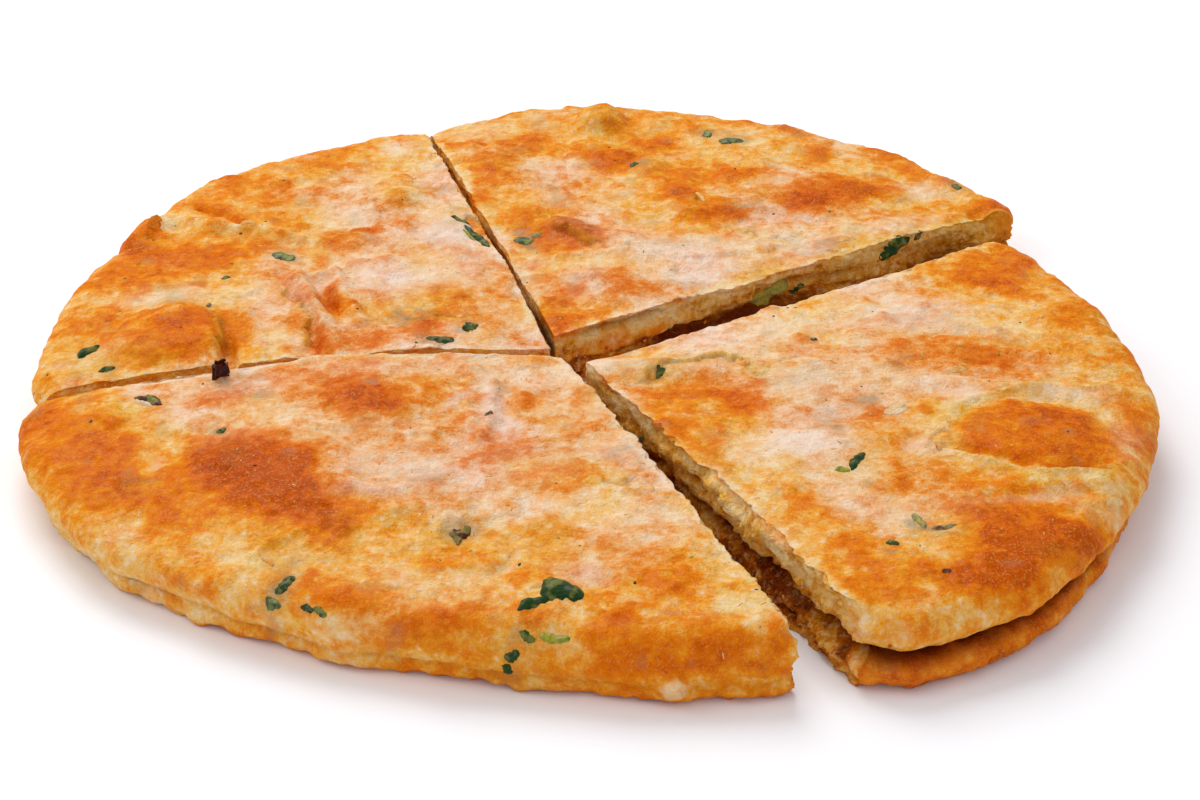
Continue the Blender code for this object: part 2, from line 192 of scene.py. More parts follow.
@dataclass
class Quarter:
    """One quarter of the cake. A patch is x, y, half length, half width, the way it points, how much."""
    name: str
    seed: int
    tip: tuple          # where its two cuts meet
    cuts: tuple         # the way each cut runs out from the tip
    rim: tuple          # tip to rim, evenly spaced from the first cut to the second
    crown: tuple        # crust height at the tip; at first cut, middle, second cut halfway; at the rim
    fold: tuple         # height of the fold between the lobes, as a share, along the rim
    fold_depth: tuple   # how deep the fold is, along the rim
    lower_reach: tuple  # how far the lower lobe passes the upper, along the rim
    corners: tuple      # how far the rim draws back where it meets each cut
    lean: tuple         # how far each cut's foot stands out past its crust, at the rim
    seams: tuple        # how deep the gap between the layers is, on each cut
    ragged: tuple       # how ragged each cut is, 1 for the most
    blisters: tuple     # patches of raised crust
    nubs: tuple         # the way from the tip, height as a share, size, how far it sticks out, how pale
    creases: tuple      # half width, height, and the points that each ridge or furrow runs through
    skins: tuple        # fade, height, and the line of a torn skin's edge, which stands up on its left
    torn: tuple         # patches where the top skin is torn off
    hollows: tuple      # in a cut: which, how far out, height as a share, half length, half height, depth, or with a minus a lump, and how dark its painted shade is, or with a minus browned crust
                        # depth, or with a minus a lump, and darkness, or with a minus browned crust
    crumb_tones: tuple  # how brown the cuts are above the fold and below it
    rim_tones: tuple    # how browned the upper lobe's underside and the lower lobe are, along the rim
    browned: tuple      # patches fried darker, or with a minus kept paler
    milky_skin_and_sheen: tuple        # patches of pinkish white, partly where a skin of dough has lifted and partly a painted sheen
    leafy: tuple        # patches grey-green from leaf under the skin
    olive: tuple        # patches of clear yellow-green skin
    golden: tuple       # patches fried golden, not ruddy


FRONT_LEFT = Quarter(
    name="slice_front_left", seed=11,
    tip=(-5, -9), cuts=(185.5, 293.8), rim=(87.4, 84.8, 76.5, 76, 84),
    crown=(11.5, (14.0, 13.0, 12.6), (9.0, 10.0, 11.0)),
    fold=(0.46, 0.43, 0.34, 0.30, 0.30), fold_depth=(3.0, 2.2, 1.1, 0.5, 0.4),
    lower_reach=(-2.8, -1.5, -0.6, -0.2, -0.2),
    corners=(2.5, 1.5), lean=(0.0, 0.0), seams=(1.0, 0.8), ragged=(0.35, 1.0),
    blisters=(
        (-48, -47, 13, 12, 60, 1.6), (-35, -24, 10, 8, 0, 0.9), (-83, -31, 12, 7, 70, 1.2),
        (-19, -61, 4, 4, 0, -1.8), (-27, -59, 3, 3, 0, -0.8), (8, -64, 9, 12, 20, 0.9),
        (-6, -78, 8, 6, 0, 0.6), (-62, -36, 9, 5, 20, -0.8), (-30, -74, 16, 5, 160, 0.7)),
    nubs=((281.7, 0.30, 1.7, 2.4, 1), (247, 0.30, 4.0, 1.2, 0)),
    creases=(
        (0.7, 0.60, ((-15, -19), (-16, -24), (-15.5, -29), (-17, -36))),
        (0.8, 0.45, ((-23, -60), (-21, -63.5), (-17, -63.5), (-15, -60.5), (-17, -57), (-21, -57),
                     (-23, -60))),
        (1.0, -0.3, ((-13, -20), (-13.5, -28), (-15, -37))),
        (0.8, 0.5, ((-24, -20), (-20, -25), (-18, -31))),
        (0.9, 0.4, ((-33, -58), (-30, -55.5), (-26, -55), (-25, -58))),
        (0.7, 0.35, ((-27, -65), (-26, -61), (-24, -58))),
        (1.2, 0.4, ((-40, -48), (-34, -51), (-28, -50))),
        (0.9, 0.5, ((-50, -66), (-46, -62), (-42, -60)))),
    skins=((4, 0.75, ((13, -51), (8, -49), (5, -48.5), (1, -47), (-4, -46))),
           (3, 0.35, ((1, -47.5), (5, -46), (6, -44)))),
    torn=(), crumb_tones=(0.30, 0.42),
    hollows=((1, 30, 0.5, 5, 0.12, 1.0, 0.5), (1, 66, 0.35, 5, 0.1, 1.0, 0.5)),
    rim_tones=((0.45, 0.20, 0.42, 0.48, 0.62), (0.26, 0.24, 0.48, 0.60, 0.70)),
    browned=(
        (-51, -45, 13, 9, -50, 0.75), (-44, -53, 9, 6, -40, 0.35), (-57, -40, 6, 5, 0, 0.2),
        (-36, -25, 9, 6, -10, 0.42), (-33, -28, 4, 3, 0, 0.15), (-76, -36, 7, 9, 0, 0.42),
        (-86, -24, 7, 11, 0, 0.36), (-73, -45, 5, 5, 0, 0.18), (-66, -50, 9, 5, -50, 0.30),
        (-13, -38, 10, 5, 10, 0.20), (-5, -46, 6, 4, 30, 0.16), (10, -70, 6, 5, 0, 0.20),
        (-4, -59, 4, 4, 0, 0.10), (8, -88, 13, 4, 8, 0.36), (-20, -80, 8, 4, 0, 0.26),
        (-36, -74, 9, 4, -25, 0.30), (-37, -58, 5, 4, 0, 0.22), (-22, -67, 5, 3, 0, 0.12),
        (22, -86, 6, 6, 0, 0.20), (4, -83, 6, 2.5, 0, 0.14), (-58, -60, 8, 3, -45, 0.22),
        (-7, -22, 8, 5, 0, 0.10),
        (-45, -18, 9, 3, 5, 0.16), (-58, -23, 4, 3, 0, 0.30), (14, -75, 5, 4, 0, 0.18),
        (-60, -30, 7, 4, 20, -0.22), (-45, -33, 8, 4, -20, -0.18), (-10, -55, 9, 5, 0, -0.18),
        (4, -54, 7, 4, -60, -0.22), (12, -58, 3, 5, 20, -0.20), (-52, -65, 10, 3, -35, -0.26),
        (-8, -16, 8, 4, 0, -0.20), (-70, -60, 9, 4, -55, -0.15), (18, -70, 3, 6, 20, -0.12),
        (-15, -74, 10, 4, 0, -0.12), (21, -80, 3, 3, 0, -0.3)),
    milky_skin_and_sheen=(
        (-16, -26, 3, 8, 0, 0.55), (-26, -46, 6, 5, -20, 0.55), (-30, -16, 14, 3, 5, 0.35),
        (-10, -42, 8, 5, 0, 0.30), (-55, -34, 6, 4, 0, 0.30), (-33, -51, 5, 1.6, 5, 0.60),
        (-54, -21, 6, 4, 0, 0.45), (3, -39, 4, 6, 50, 0.45), (-20, -75, 6, 3, 0, 0.15),
        (-1.5, -70.5, 4, 2.5, -20, 0.6), (-14, -30, 1.5, 6, 10, 0.6), (-16, -25, 0.9, 7, 6, 0.7),
        (-21, -24, 0.8, 6, -30, 0.6)),
    leafy=(
        (-52, -24, 3, 1.5, 0, 0.35), (-25, -48, 6, 3, -20, 0.28), (4, -40, 3, 4, 50, 0.40),
        (-57, -33, 1.2, 0.9, 0, 0.8), (-19, -59, 3.2, 2.4, 20, 0.5), (-34.5, -21.5, 2.6, 0.7, -5, 0.6),
        (-44, -69, 3, 5, -20, 0.45), (-8, -82, 4, 2.5, 0, 0.12), (-1.5, -21, 2, 2, 0, 0.25),
        (-45, -73, 2.4, 2.4, 0, 0.5),
        (-10.5, -83, 3, 1.2, 10, 0.25), (-11.4, -86, 1.4, 1.6, 0, 0.3)),
    olive=(
        (-73, -24, 4, 3, 0, 0.7), (-19, -61, 5, 4, 0, 0.75), (-28, -58, 4, 2.5, 20, 0.35),
        (-45, -66, 4, 6, 0, 0.4), (-10, -83, 7, 3, 0, 0.5), (-38, -57, 3, 2, 0, 0.35),
        (-4, -60, 5, 4, 0, 0.25), (-88, -20, 4, 3, 0, 0.3), (-71, -24.5, 3, 2, 0, 0.4)),
    golden=((-78, -36, 14, 14, 0), (-60, -56, 18, 8, -45), (-38, -62, 12, 8, 0), (19, -78, 13, 6, -66)))

BACK_LEFT = Quarter(
    name="slice_back_left", seed=23,
    tip=(-7, -2), cuts=(106.4, 188.1), rim=(91, 91.5, 87, 84, 84),
    crown=(10.0, (11.0, 11.5, 11.0), (10.0, 9.5, 8.0)),
    fold=(0.40, 0.40, 0.40), fold_depth=(1.2, 1.2, 2.0), lower_reach=(-0.5, -0.5, -1.0),
    corners=(1.5, 2.0), lean=(-0.8, 0.0), seams=(0.8, 1.2), ragged=(0.3, 0.45),
    blisters=(
        (-69, 0, 8.5, 8.5, 0, 2.0, 2.2), (-47, 8, 16, 2.6, -65, 1.3, 2.0), (-59, -5, 7, 1.3, -80, -2.4),
        (-78, 43, 5, 2.6, 60, 1.5, 2.0), (-36, 50, 7, 4, 60, 1.0), (-62, 44, 12, 6, -45, 0.9),
        (-32, 8, 7, 6, 0, -0.6), (-42, 34, 4, 3, 0, 0.7, 2.0), (-56, 36, 5, 3, 0, 0.6, 2.0),
        (-34, 51, 5, 4, 20, 0.7, 2.0), (-50, 62, 4, 3, 0, 0.6, 2.0), (-28, -3, 8, 4, 0, 0.8)),
    nubs=((147.4, 0.85, 2.2, 1.7, 0), (151, 0.8, 1.8, 1.2, 0), (158, 0.7, 3.0, 0.8, 0)),
    creases=(
        (1.2, -1.1, ((-53, 20), (-50, 12), (-46, 1), (-43, -6))),
        (1.0, -1.1, ((-48, 20), (-45, 14), (-42, 8))),
        (1.2, 1.0, ((-50, 21), (-47, 12), (-44, 2))),
        (1.2, 0.9, ((-44, 22), (-41, 12), (-38, 4))),
        (0.8, -0.6, ((-64, 9), (-61, 0), (-59, -8))),
        (1.3, 0.8, ((-57, 9), (-55, 0), (-54, -6))),
        (1.0, -1.1, ((-71, 50), (-66, 46), (-61, 41))),
        (1.4, 1.0, ((-74, 45), (-66, 41), (-58, 37), (-48, 34))),
        (1.2, 0.4, ((-70, 17), (-60, 14), (-50, 19), (-40, 26))),
        (1.0, 0.4, ((-72, 55), (-70, 61), (-64, 64))),
        (0.9, -0.4, ((-40, 60), (-38, 50), (-37, 43)))),
    skins=((3, 0.4, ((-18, 7), (-22, 6), (-27, 7), (-31, 4))),
           (4, 0.9, ((-60, -7), (-59.5, 0), (-61, 6), (-66, 9.5), (-73, 9))),
           (5, 0.8, ((-46, -7), (-46.5, 2), (-49, 10), (-54, 17)))),
    torn=((-20, 41, 4, 2, -60, 0.5),), crumb_tones=(0.62, 0.66),
    hollows=((0, 5, 0.5, 7, 0.5, 0.4, 0.95), (1, 45, 0.5, 8, 0.15, 0.6, 0.0),
             (0, 56, 0.6, 36, 0.6, 0.0, -0.9), (1, 66, 0.6, 22, 0.6, 0.0, -0.9),
             (1, 24, 0.6, 24, 0.6, 0.0, -0.9)),
    rim_tones=((0.30, 0.35, 0.40, 0.35, 0.40), (0.45, 0.45, 0.50, 0.50, 0.50)),
    browned=(
        (-69, -2, 9, 7, 0, 0.46), (-62, 6, 4, 7, -60, 0.30), (-57, 1, 3, 6, 0, 0.30),
        (-80, 5, 6, 4, 0, 0.30), (-77, 22, 8, 6, 0, 0.28), (-79, 38, 6, 5, 60, 0.22),
        (-70, 31, 9, 5, -20, 0.30), (-60, 31, 6, 4, 0, 0.20), (-67, 48, 8, 2.5, -40, 0.30),
        (-79, 34, 3, 5, 60, 0.30), (-76, 46, 3, 3, 0, -0.14),
        (-63, 60, 6, 4, 60, 0.26), (-50, 66, 5, 5, 0, 0.22), (-47, 73, 5, 4, 0, 0.22),
        (-57, 53, 5, 4, 0, 0.26), (-40, 38, 3, 2, 0, 0.25), (-66, 26, 5, 3, 0, 0.2), (-45, 35, 4, 4, 0, 0.30),
        (-43, 13, 5, 2, -65, 0.50),
        (-46, 1, 8, 2.2, -65, 0.36), (-27, 3, 4, 5, 0, 0.45), (-21, 8, 5, 5, 0, 0.16),
        (-50, 13, 7, 2, -65, 0.26), (-32, 30, 5, 4, 0, 0.12), (-37, -2, 6, 4, 0, 0.18),
        (-24, 14, 5, 4, 0, 0.12), (-85, 25, 4, 8, 70, 0.15), (-55, 43, 6, 3, -20, 0.16),
        (-60, 13, 7, 4, 0, -0.22), (-52, -2, 3, 6, -70, -0.20), (-49, 9, 7, 1.5, -65, -0.20),
        (-32, 21, 10, 5, 0, -0.24), (-45, 44, 6, 4, 0, -0.18), (-66, 40, 7, 2, -20, -0.20),
        (-24, 38, 4, 7, 20, -0.28), (-33, 72, 6, 7, 0, -0.18), (-84, -8, 5, 4, 0, -0.12),
        (-38, 60, 5, 6, 0, -0.12), (-72, 14, 5, 3, 0, -0.18)),
    milky_skin_and_sheen=(
        (-34, 19, 9, 5, 0, 0.55), (-24, 37, 3.5, 7, 15, 0.60), (-49, 12, 9, 2, -65, 0.45),
        (-72, 14, 7, 3, 0, 0.45), (-40, 26, 5, 4, 0, 0.35), (-36, 75, 3, 3, 0, 0.50),
        (-54, 0, 1.5, 6, 0, 0.35), (-20, 24, 4, 6, 0, 0.40), (-28, 26, 7, 9, 0, 0.30),
        (-80, -3, 4, 3, 0, 0.20)),
    leafy=(
        (-52.5, 28, 3.4, 1.7, -50, 0.85), (-32, 7.5, 4.2, 3.6, 0, 0.75), (-20, 3.5, 2, 1.6, 0, 0.8),
        (-23.3, 47.5, 1.8, 2, 0, 0.7),
        (-26, -1.5, 3, 2, 0, 0.5), (-70, 12, 4, 2, 0, 0.30), (-25, 40, 4, 3, 0, 0.40),
        (-62, 20, 1.5, 1.2, 0, 0.5), (-64, 11, 1.2, 1, 0, 0.6), (-50, 51, 2, 2, 0, 0.25),
        (-79, -8, 3, 2, 0, 0.6), (-60, 38, 3, 2, 0, 0.30)),
    olive=(
        (-34, 51, 5, 6, 20, 0.6), (-32, 34, 4, 3, -40, 0.45), (-50, 63, 4, 4, 0, 0.35),
        (-60, 36, 4, 3, 0, 0.4), (-27, 12, 7, 5, 0, 0.35), (-80, -6, 6, 4, 0, 0.5),
        (-50, 51, 3, 2, 0, 0.35), (-24, 46, 3, 4, 0, 0.4), (-86, -2, 3, 6, 0, 0.35)),
    golden=((-72, 4, 14, 16, 0), (-60, 40, 18, 12, -40)))

BACK_RIGHT = Quarter(
    name="slice_back_right", seed=37,
    tip=(-6.3, 1.7), cuts=(30.0, 107.0), rim=(95, 97, 96, 94, 87.5),
    crown=(10.0, (11.0, 11.5, 11.0), (9.5, 9.5, 9.5)),
    fold=(0.42, 0.40, 0.40), fold_depth=(2.0, 1.2, 1.2), lower_reach=(-0.5, -0.5, -0.5),
    corners=(2.5, 2.0), lean=(1.0, -0.8), seams=(1.6, 0.8), ragged=(0.8, 0.3),
    blisters=(
        (26, 61, 4, 3, 0, 0.6, 2.0), (15, 58, 4, 5, 0, 0.7, 2.0), (-12, 45, 4, 5, 0, 0.7, 2.0),
        (3, 68, 4, 4, 0, 0.6, 2.0),
        (1.4, 85, 4.2, 5.4, 0, 3.2, 2.0), (42, 57, 12, 9, 30, 1.0), (-4, 37, 6, 4, -20, 1.0),
        (18, 48, 8, 6, 0, 0.7), (4, 19, 7, 6, 0, 0.7), (20, 42, 30, 3, 10, -0.5),
        (9.8, 64.5, 2.8, 3.4, 0, 1.0, 2.0), (11, 86, 3, 3.6, 0, 1.2), (-16, 66, 9, 8, 0, 0.6),
        (73, 46, 3.4, 3, 30, 1.5, 2.0), (68, 47, 2, 2, 30, -0.8)),
    nubs=((94, 0.85, 3.0, 1.4, 0), (50, 0.7, 7.0, 1.3, 0), (33, 0.7, 4.0, 1.8, 0)),
    creases=(
        (0.9, 0.4, ((-6, 38), (-3, 36), (1, 38))),
        (0.9, 0.4, ((13, 47), (16, 45), (22, 44))),
        (0.6, -0.4, ((21, 40), (26, 37), (34, 36))),
        (1.0, 0.35, ((-10, 28), (4, 30), (18, 29), (36, 34))),
        (1.0, 0.4, ((60, 66), (66, 60), (68, 54))),
        (1.0, 0.35, ((-20, 80), (-17, 72), (-18, 64)))),
    skins=((5, 1.2, ((-8, 40.5), (-5.5, 36), (-2, 33), (3, 32))),
           (3, 0.5, ((19, 46), (18, 50.5), (13, 50))),
           (2.5, 0.35, ((36, 35), (28, 36.5), (21, 40)))),
    # Below the fold the cuts are dark red-brown: partly burnt crumb, partly painted shade at the foot of the
    # first cut.
    torn=(), crumb_tones=(0.30, 0.90),
    hollows=((0, 49, 0.60, 13, 0.22, 1.5, 0.35), (0, 76, 0.58, 10, 0.20, 1.3, 0.35),
             (0, 33, 0.58, 3, 0.10, 1.0, 0.5),
             (0, 13, 0.86, 9, 0.07, 1.6, 0.9), (0, 11, 0.62, 6.5, 0.17, -1.8, -1.0),
             (0, 19.0, 0.64, 2.6, 0.16, -2.0, -1.0),
             (0, 34, 0.20, 26, 0.22, 0.6, 1.3), (0, 74, 0.20, 12, 0.20, 0.6, 1.2),
             (1, 5, 0.5, 8, 0.5, 0.3, 0.9),
             (1, 58, 0.6, 38, 0.6, 0.0, -0.9)),
    rim_tones=((0.45, 0.40, 0.40, 0.40, 0.35), (0.50, 0.50, 0.50, 0.50, 0.50)),
    browned=(
        (42, 54, 10, 6, 25, 0.45, 2.0), (36, 50, 5, 3, 0, 0.20), (26, 61, 5, 4, 0, 0.38),
        (22, 45, 4, 5, -60, 0.42), (15, 51, 5, 5, 0, 0.34), (15, 59, 5, 8, 0, 0.30),
        (4, 68, 6, 6, 0, 0.46), (12, 75, 5, 4, 0, 0.40), (4, 86, 4, 7, 0, 0.26),
        (11, 87, 3, 5, 0, 0.28), (42, 72, 3, 6, 0, 0.42), (34, 86, 8, 4, 0, 0.16),
        (55, 70, 7, 4, -50, 0.24), (60, 63, 6, 3, -50, 0.18), (-5, 34, 8, 4, -15, 0.45),
        (-2, 37.5, 4, 2.4, -20, 0.35),
        (-2, 38, 4, 3, 0, 0.30), (-12, 44, 4, 6, 0, 0.26), (-18, 62, 4, 6, 0, 0.32),
        (-15, 74, 5, 6, 0, 0.28), (3, 20, 3, 4, 0, 0.36), (8, 17, 4, 2.5, 0, 0.28),
        (-5, 13, 4, 8, 20, 0.36), (-7, 5, 4, 4, 0, 0.45), (50, 45, 6, 3, 20, 0.18),
        (72, 49, 6, 5, 0, 0.40), (50, 56, 6, 4, 0, 0.14), (-6, 46, 4, 5, 0, 0.12),
        (60, 48, 6, 3, 30, 0.20), (-20, 52, 3, 5, 0, 0.20), (22, 85, 5, 5, 0, 0.14),
        (10, 31, 12, 4, 5, -0.26), (32, 36, 9, 4, 20, -0.26), (48, 41, 8, 3, 20, -0.20),
        (60, 57, 7, 5, 0, -0.16), (-22, 84, 6, 4, 0, -0.20), (10, 60, 4, 5, 0, -0.14),
        (30, 70, 6, 6, 0, -0.10), (-1, 24, 4, 4, 0, -0.16), (15, 23, 10, 4, 25, -0.18),
        (50, 65, 5, 4, 0, -0.12), (-10, 55, 4, 5, 0, -0.12), (28, 30, 8, 3, 25, -0.18)),
    milky_skin_and_sheen=(
        (-2, 20, 3, 5, 0, 0.45), (12, 31, 12, 4, 5, 0.45), (40, 33, 6, 3, 25, 0.45),
        (-4, 65, 4, 4, 0, 0.35), (-8, 52, 3, 5, 0, 0.30), (20, 24, 8, 3, 25, 0.30),
        (60, 57, 6, 4, 0, 0.25), (-10, 26, 3, 4, 0, 0.35), (30, 35, 8, 3, 15, 0.30),
        (-22, 82, 5, 5, 0, 0.20), (-2, 37.5, 4, 2.4, -20, 0.6)),
    leafy=(
        (26, 76.5, 3.4, 2.8, 30, 0.75), (21, 81, 1.4, 2.6, 0, 0.7), (8.5, 64, 2.2, 3.4, 0, 0.55),
        (-6, 52, 2, 3.5, 0, 0.50), (-12, 35, 2.2, 4, 30, 0.80), (27, 48, 3, 1.5, 0, 0.45),
        (12, 33.5, 6, 1.2, 0, 0.30), (40, 33, 3, 2, 20, 0.35), (66, 60, 2, 3.5, 20, 0.55),
        (32, 64, 2, 3, 0, 0.30), (-2, 19, 2, 3, 0, 0.25), (15, 20, 4, 2, 20, 0.30),
        (-10, 86, 1.6, 2.4, 0, 0.35), (52, 51, 2, 1, 0, 0.25)),
    olive=(
        (2, 82, 5, 6, 0, 0.4), (11, 65, 4, 6, 0, 0.4), (4, 76, 4, 4, 0, 0.35),
        (23, 81, 3, 4, 0, 0.35), (-15, 68, 4, 6, 0, 0.35), (-9, 42, 3, 4, 0, 0.4),
        (30, 52, 5, 5, 0, 0.2), (20, 70, 4, 5, 0, 0.2),
        (48, 34, 12, 2.4, 30, 1.0), (24, 20, 10, 2.4, 30, 0.8), (66, 43, 8, 2.4, 30, 1.0)),
    golden=((4, 78, 12, 12, 0), (14, 54, 10, 12, 0), (-12, 44, 6, 12, 0), (40, 68, 8, 5, -20)))

FRONT_RIGHT = Quarter(
    name="slice_front_right", seed=41,
    tip=(-1, -11), cuts=(-61.3, 33.2), rim=(85, 90, 90.5, 89.5, 89),
    crown=(11.5, (12.8, 12.8, 11.2), (12.0, 11.5, 10.5)),
    fold=(0.42, 0.42, 0.40), fold_depth=(4.5, 5.0, 2.0), lower_reach=(2.0, -2.2, -1.0),
    corners=(4.5, 2.5), lean=(0.9, 0.0), seams=(2.6, 1.0), ragged=(1.0, 0.6),
    blisters=(
        (69, -34, 12, 11, 0, 2.0), (64, -19, 14, 2.2, -12, 0.9), (70, -47, 14, 2.2, 12, 0.9),
        (60, -64, 12, 10, 30, 1.0), (16, -19, 12, 4, -8, -1.0), (8, -12, 12, 2.5, -4, 0.7),
        (20, -24, 8, 3, 30, 0.5, 2.0), (54, -6, 6, 3, 0, 0.5, 2.0), (34, -12, 6, 2, 20, 0.4),
        (35, -38, 12, 6, 10, 0.7), (78, 6, 14, 8, -70, 0.6), (40, -16, 10, 8, 0, 0.4)),
    nubs=((-20, 0.6, 6.0, 0.7, 0), (-44, 0.72, 4.0, 0.8, 0)),
    creases=(
        (1.1, 0.6, ((54, -30), (58, -24.5), (64, -21), (72, -20), (80, -18), (88, -19))),
        (1.0, 0.6, ((51, -38), (57, -41), (63, -44.5), (69, -46), (76, -44), (83, -39))),
        (1.0, -0.6, ((55, -33), (59, -27), (65, -23), (72, -23))),
        (1.0, -0.5, ((54, -38), (62, -42), (70, -44), (78, -41))),
        (1.2, 0.5, ((60, 3), (70, 0), (80, -2), (88, -4))),
        (1.1, 0.4, ((58, -4), (68, -6), (78, -9), (88, -11))),
        (1.1, 0.4, ((58, 12), (68, 9), (78, 8), (86, 6))),
        (0.8, -0.4, ((60, -10), (72, -12), (84, -14))),
        (0.7, -0.4, ((54, -2.5), (57, 0))),
        (0.8, 0.4, ((70, -53), (78, -50), (86, -46))),
        (0.7, 0.35, ((66, -66), (70, -60), (73, -54))),
        (0.8, 0.4, ((44, -60), (47, -63), (53, -63), (54, -60)))),
    skins=((5, 0.7, ((4.5, -16), (8, -15.2), (11, -13.4), (16, -11.6), (21.5, -9), (23.4, -10), (24.4, -13.2),
                    (26.8, -15), (29.4, -13))),
           (5, 0.5, ((86, -17), (76, -18.5), (66, -20), (59, -24), (55, -30))),
           (4, 0.45, ((83, -39), (76, -44.5), (69, -46.5), (61, -43.5), (55, -38.5)))),
    torn=((53, -36, 2.4, 1.2, 60, 0.4),), crumb_tones=(0.34, 0.80),
    hollows=((0, 69, 0.42, 4.5, 0.09, 1.8, 0.9), (0, 47, 0.40, 6, 0.08, 1.2, 0.8),
             (0, 24, 0.45, 5, 0.1, 1.2, 0.8), (0, 58, 0.36, 20, 0.14, 0.8, 0.55),
             (0, 34, 0.66, 3, 0.08, 0.9, 0.4)),
    rim_tones=((0.40, 0.50, 0.52, 0.50, 0.50), (0.74, 0.80, 0.76, 0.70, 0.62)),
    browned=(
        (68, -34.5, 12.5, 10.5, 0, 0.40, 4.0), (70, -29, 5, 4, 0, 0.14), (70, -39, 6, 4, 0, 0.08),
        (63, -60, 13, 7, -10, 0.50), (61, -66, 8, 4, 15, 0.30), (70, -57, 7, 5, 30, 0.20),
        (50, -73, 5, 3, 0, 0.34), (41, -76, 5, 4, 0, 0.30), (58, -72, 7, 3, 25, 0.40),
        (65, -8, 10, 4, 0, 0.30), (55, -5, 6, 3, 0, 0.18), (69, 22, 7, 7, 0, 0.38),
        (73, 30, 5, 5, 0, 0.34), (65, 18, 6, 2, 0, 0.22), (71, 13.5, 4, 2, 0, 0.24),
        (56, 15, 4, 3, 0, 0.20), (80, 6, 5, 8, 0, 0.22), (23, -23, 5, 6, 0, 0.45),
        (14, -20, 7, 4, 0, 0.30), (12, -28, 5, 5, -40, 0.24), (17, -37, 4, 6, 30, 0.26),
        (33, -58, 4, 4, 0, 0.20), (38, -66, 4, 6, 0, 0.20), (48, -49, 4, 3, 0, 0.20),
        (58, -47, 9, 2, -10, 0.22), (82, -12, 6, 4, 0, 0.06), (80, -18, 7, 5, 0, -0.14),
        (48, -7, 4, 4, 0, 0.16),
        (84, -28, 4, 9, 0, 0.26), (52, -53, 7, 4, 0, 0.16), (28, -68, 3, 6, 25, 0.16),
        (44, -30, 4, 3, 0, 0.10), (60, 24, 4, 3, 20, 0.16), (45, -69, 6, 3, 0, 0.16),
        (30, -38, 9, 5, 0, -0.28), (36, -46, 7, 3, 10, -0.24), (50, 10, 9, 4, 20, -0.22),
        (64, 3, 9, 2.5, -8, -0.20), (45, 18, 8, 3, 30, -0.22), (34, 5, 10, 4, 30, -0.24),
        (20, -6, 9, 4, 20, -0.18), (33, -20, 6, 6, 0, -0.16), (58, -24, 4, 3, 40, -0.24),
        (73, -23, 7, 3, -15, -0.20), (60, -42.5, 8, 1.6, -20, -0.22), (32, -60, 3, 4, 0, -0.12),
        (74, -46, 8, 1.5, 10, -0.20), (48, -59, 7, 5, 0, -0.14), (24, -49, 4, 6, 30, -0.12),
        (46, -18, 5, 6, 0, -0.10), (4, -12, 5, 3, 20, -0.20), (60, -72, 8, 5, 30, 0.16)),
    milky_skin_and_sheen=(
        (31, -38, 9, 5, 0, 0.55), (35, -18, 7, 6, 0, 0.40), (52, 6, 8, 5, 20, 0.45),
        (75, -20, 7, 3, -10, 0.45), (40, 4, 8, 4, 30, 0.35), (58, -21, 4, 3, 20, 0.40),
        (45, -57, 8, 4, 0, 0.25), (82, -33, 2.5, 7, 10, 0.35), (65, -52, 12, 1.6, 10, 0.30),
        (50, -37, 2, 2.5, 0, 0.60), (27, -5, 7, 5, 20, 0.25), (60, 1, 10, 2, -8, 0.30)),
    leafy=(
        (8, -12, 3, 1.5, 20, 0.40), (36.5, -32, 3, 3, 0, 0.70), (43, -22.5, 2.4, 3, 0, 0.80),
        (51, -11, 2, 3.5, -20, 0.45), (35, -16, 4, 4, 0, 0.28), (54, 5, 5, 3, 0, 0.35),
        (41, -43, 1.6, 2.4, 0, 0.30), (48, -60, 1.4, 3, 0, 0.65), (51, -62.5, 3, 1.4, 0, 0.60),
        (43, -67, 1.4, 1.2, 0, 0.6), (36, -3, 1.2, 1.4, 0, 0.55), (40, -26, 4, 3, 0, 0.30),
        (86, -30, 2, 4, 0, 0.30), (41, -49, 3, 2, 0, 0.30), (15, -11, 3, 2, 0, 0.30)),
    olive=(
        (15, -12.5, 8, 1.6, 25, 0.5), (24, -12, 2, 3.4, 20, 0.5), (28, -14.5, 2.4, 1.4, 20, 0.7),
        (56, -28, 4, 5, 40, 0.55),
        (55, -38, 3, 2, -20, 0.7), (38, -45, 3, 1.6, 20, 0.5), (8, -15, 5, 2, 0, 0.35),
        (48, -75, 4, 2, 0, 0.35), (20, -43, 3, 6, 30, 0.3), (60, 6, 5, 2, 0, 0.2)),
    golden=((68, -34, 16, 14, 0), (56, -66, 16, 10, 20), (74, 18, 10, 12, 0), (20, -30, 6, 14, 30),
            (25, -48, 30, 6, -61)))

QUARTERS = (FRONT_LEFT, BACK_LEFT, BACK_RIGHT, FRONT_RIGHT)


def smooth_through(values, place):
    """A smooth curve through evenly spaced values, read at place, from 0 to 1."""
    last = len(values) - 1
    padded = np.array([2 * values[0] - values[1], *values, 2 * values[-1] - values[-2]], float)
    cell = np.clip((place * last).astype(int), 0, last - 1)
    part = place * last - cell
    before, start, end, after = (padded[cell + step] for step in range(4))
    curve = before * 2 - start * 5 + end * 4 - after + part * (3 * (start - end) + after - before)
    return start + 0.5 * part * (end - before + part * curve)


def swell(points, size, seed, waves=14):
    """A gentle random unevenness, about -1 to 1, whose swellings are size across."""
    rng = np.random.default_rng(seed)
    directions = rng.normal(size=(waves, points.shape[1])) / size
    phases = rng.uniform(0, 2 * math.pi, waves)
    return np.sin(2 * points @ directions.T + phases).sum(axis=1) / math.sqrt(waves)


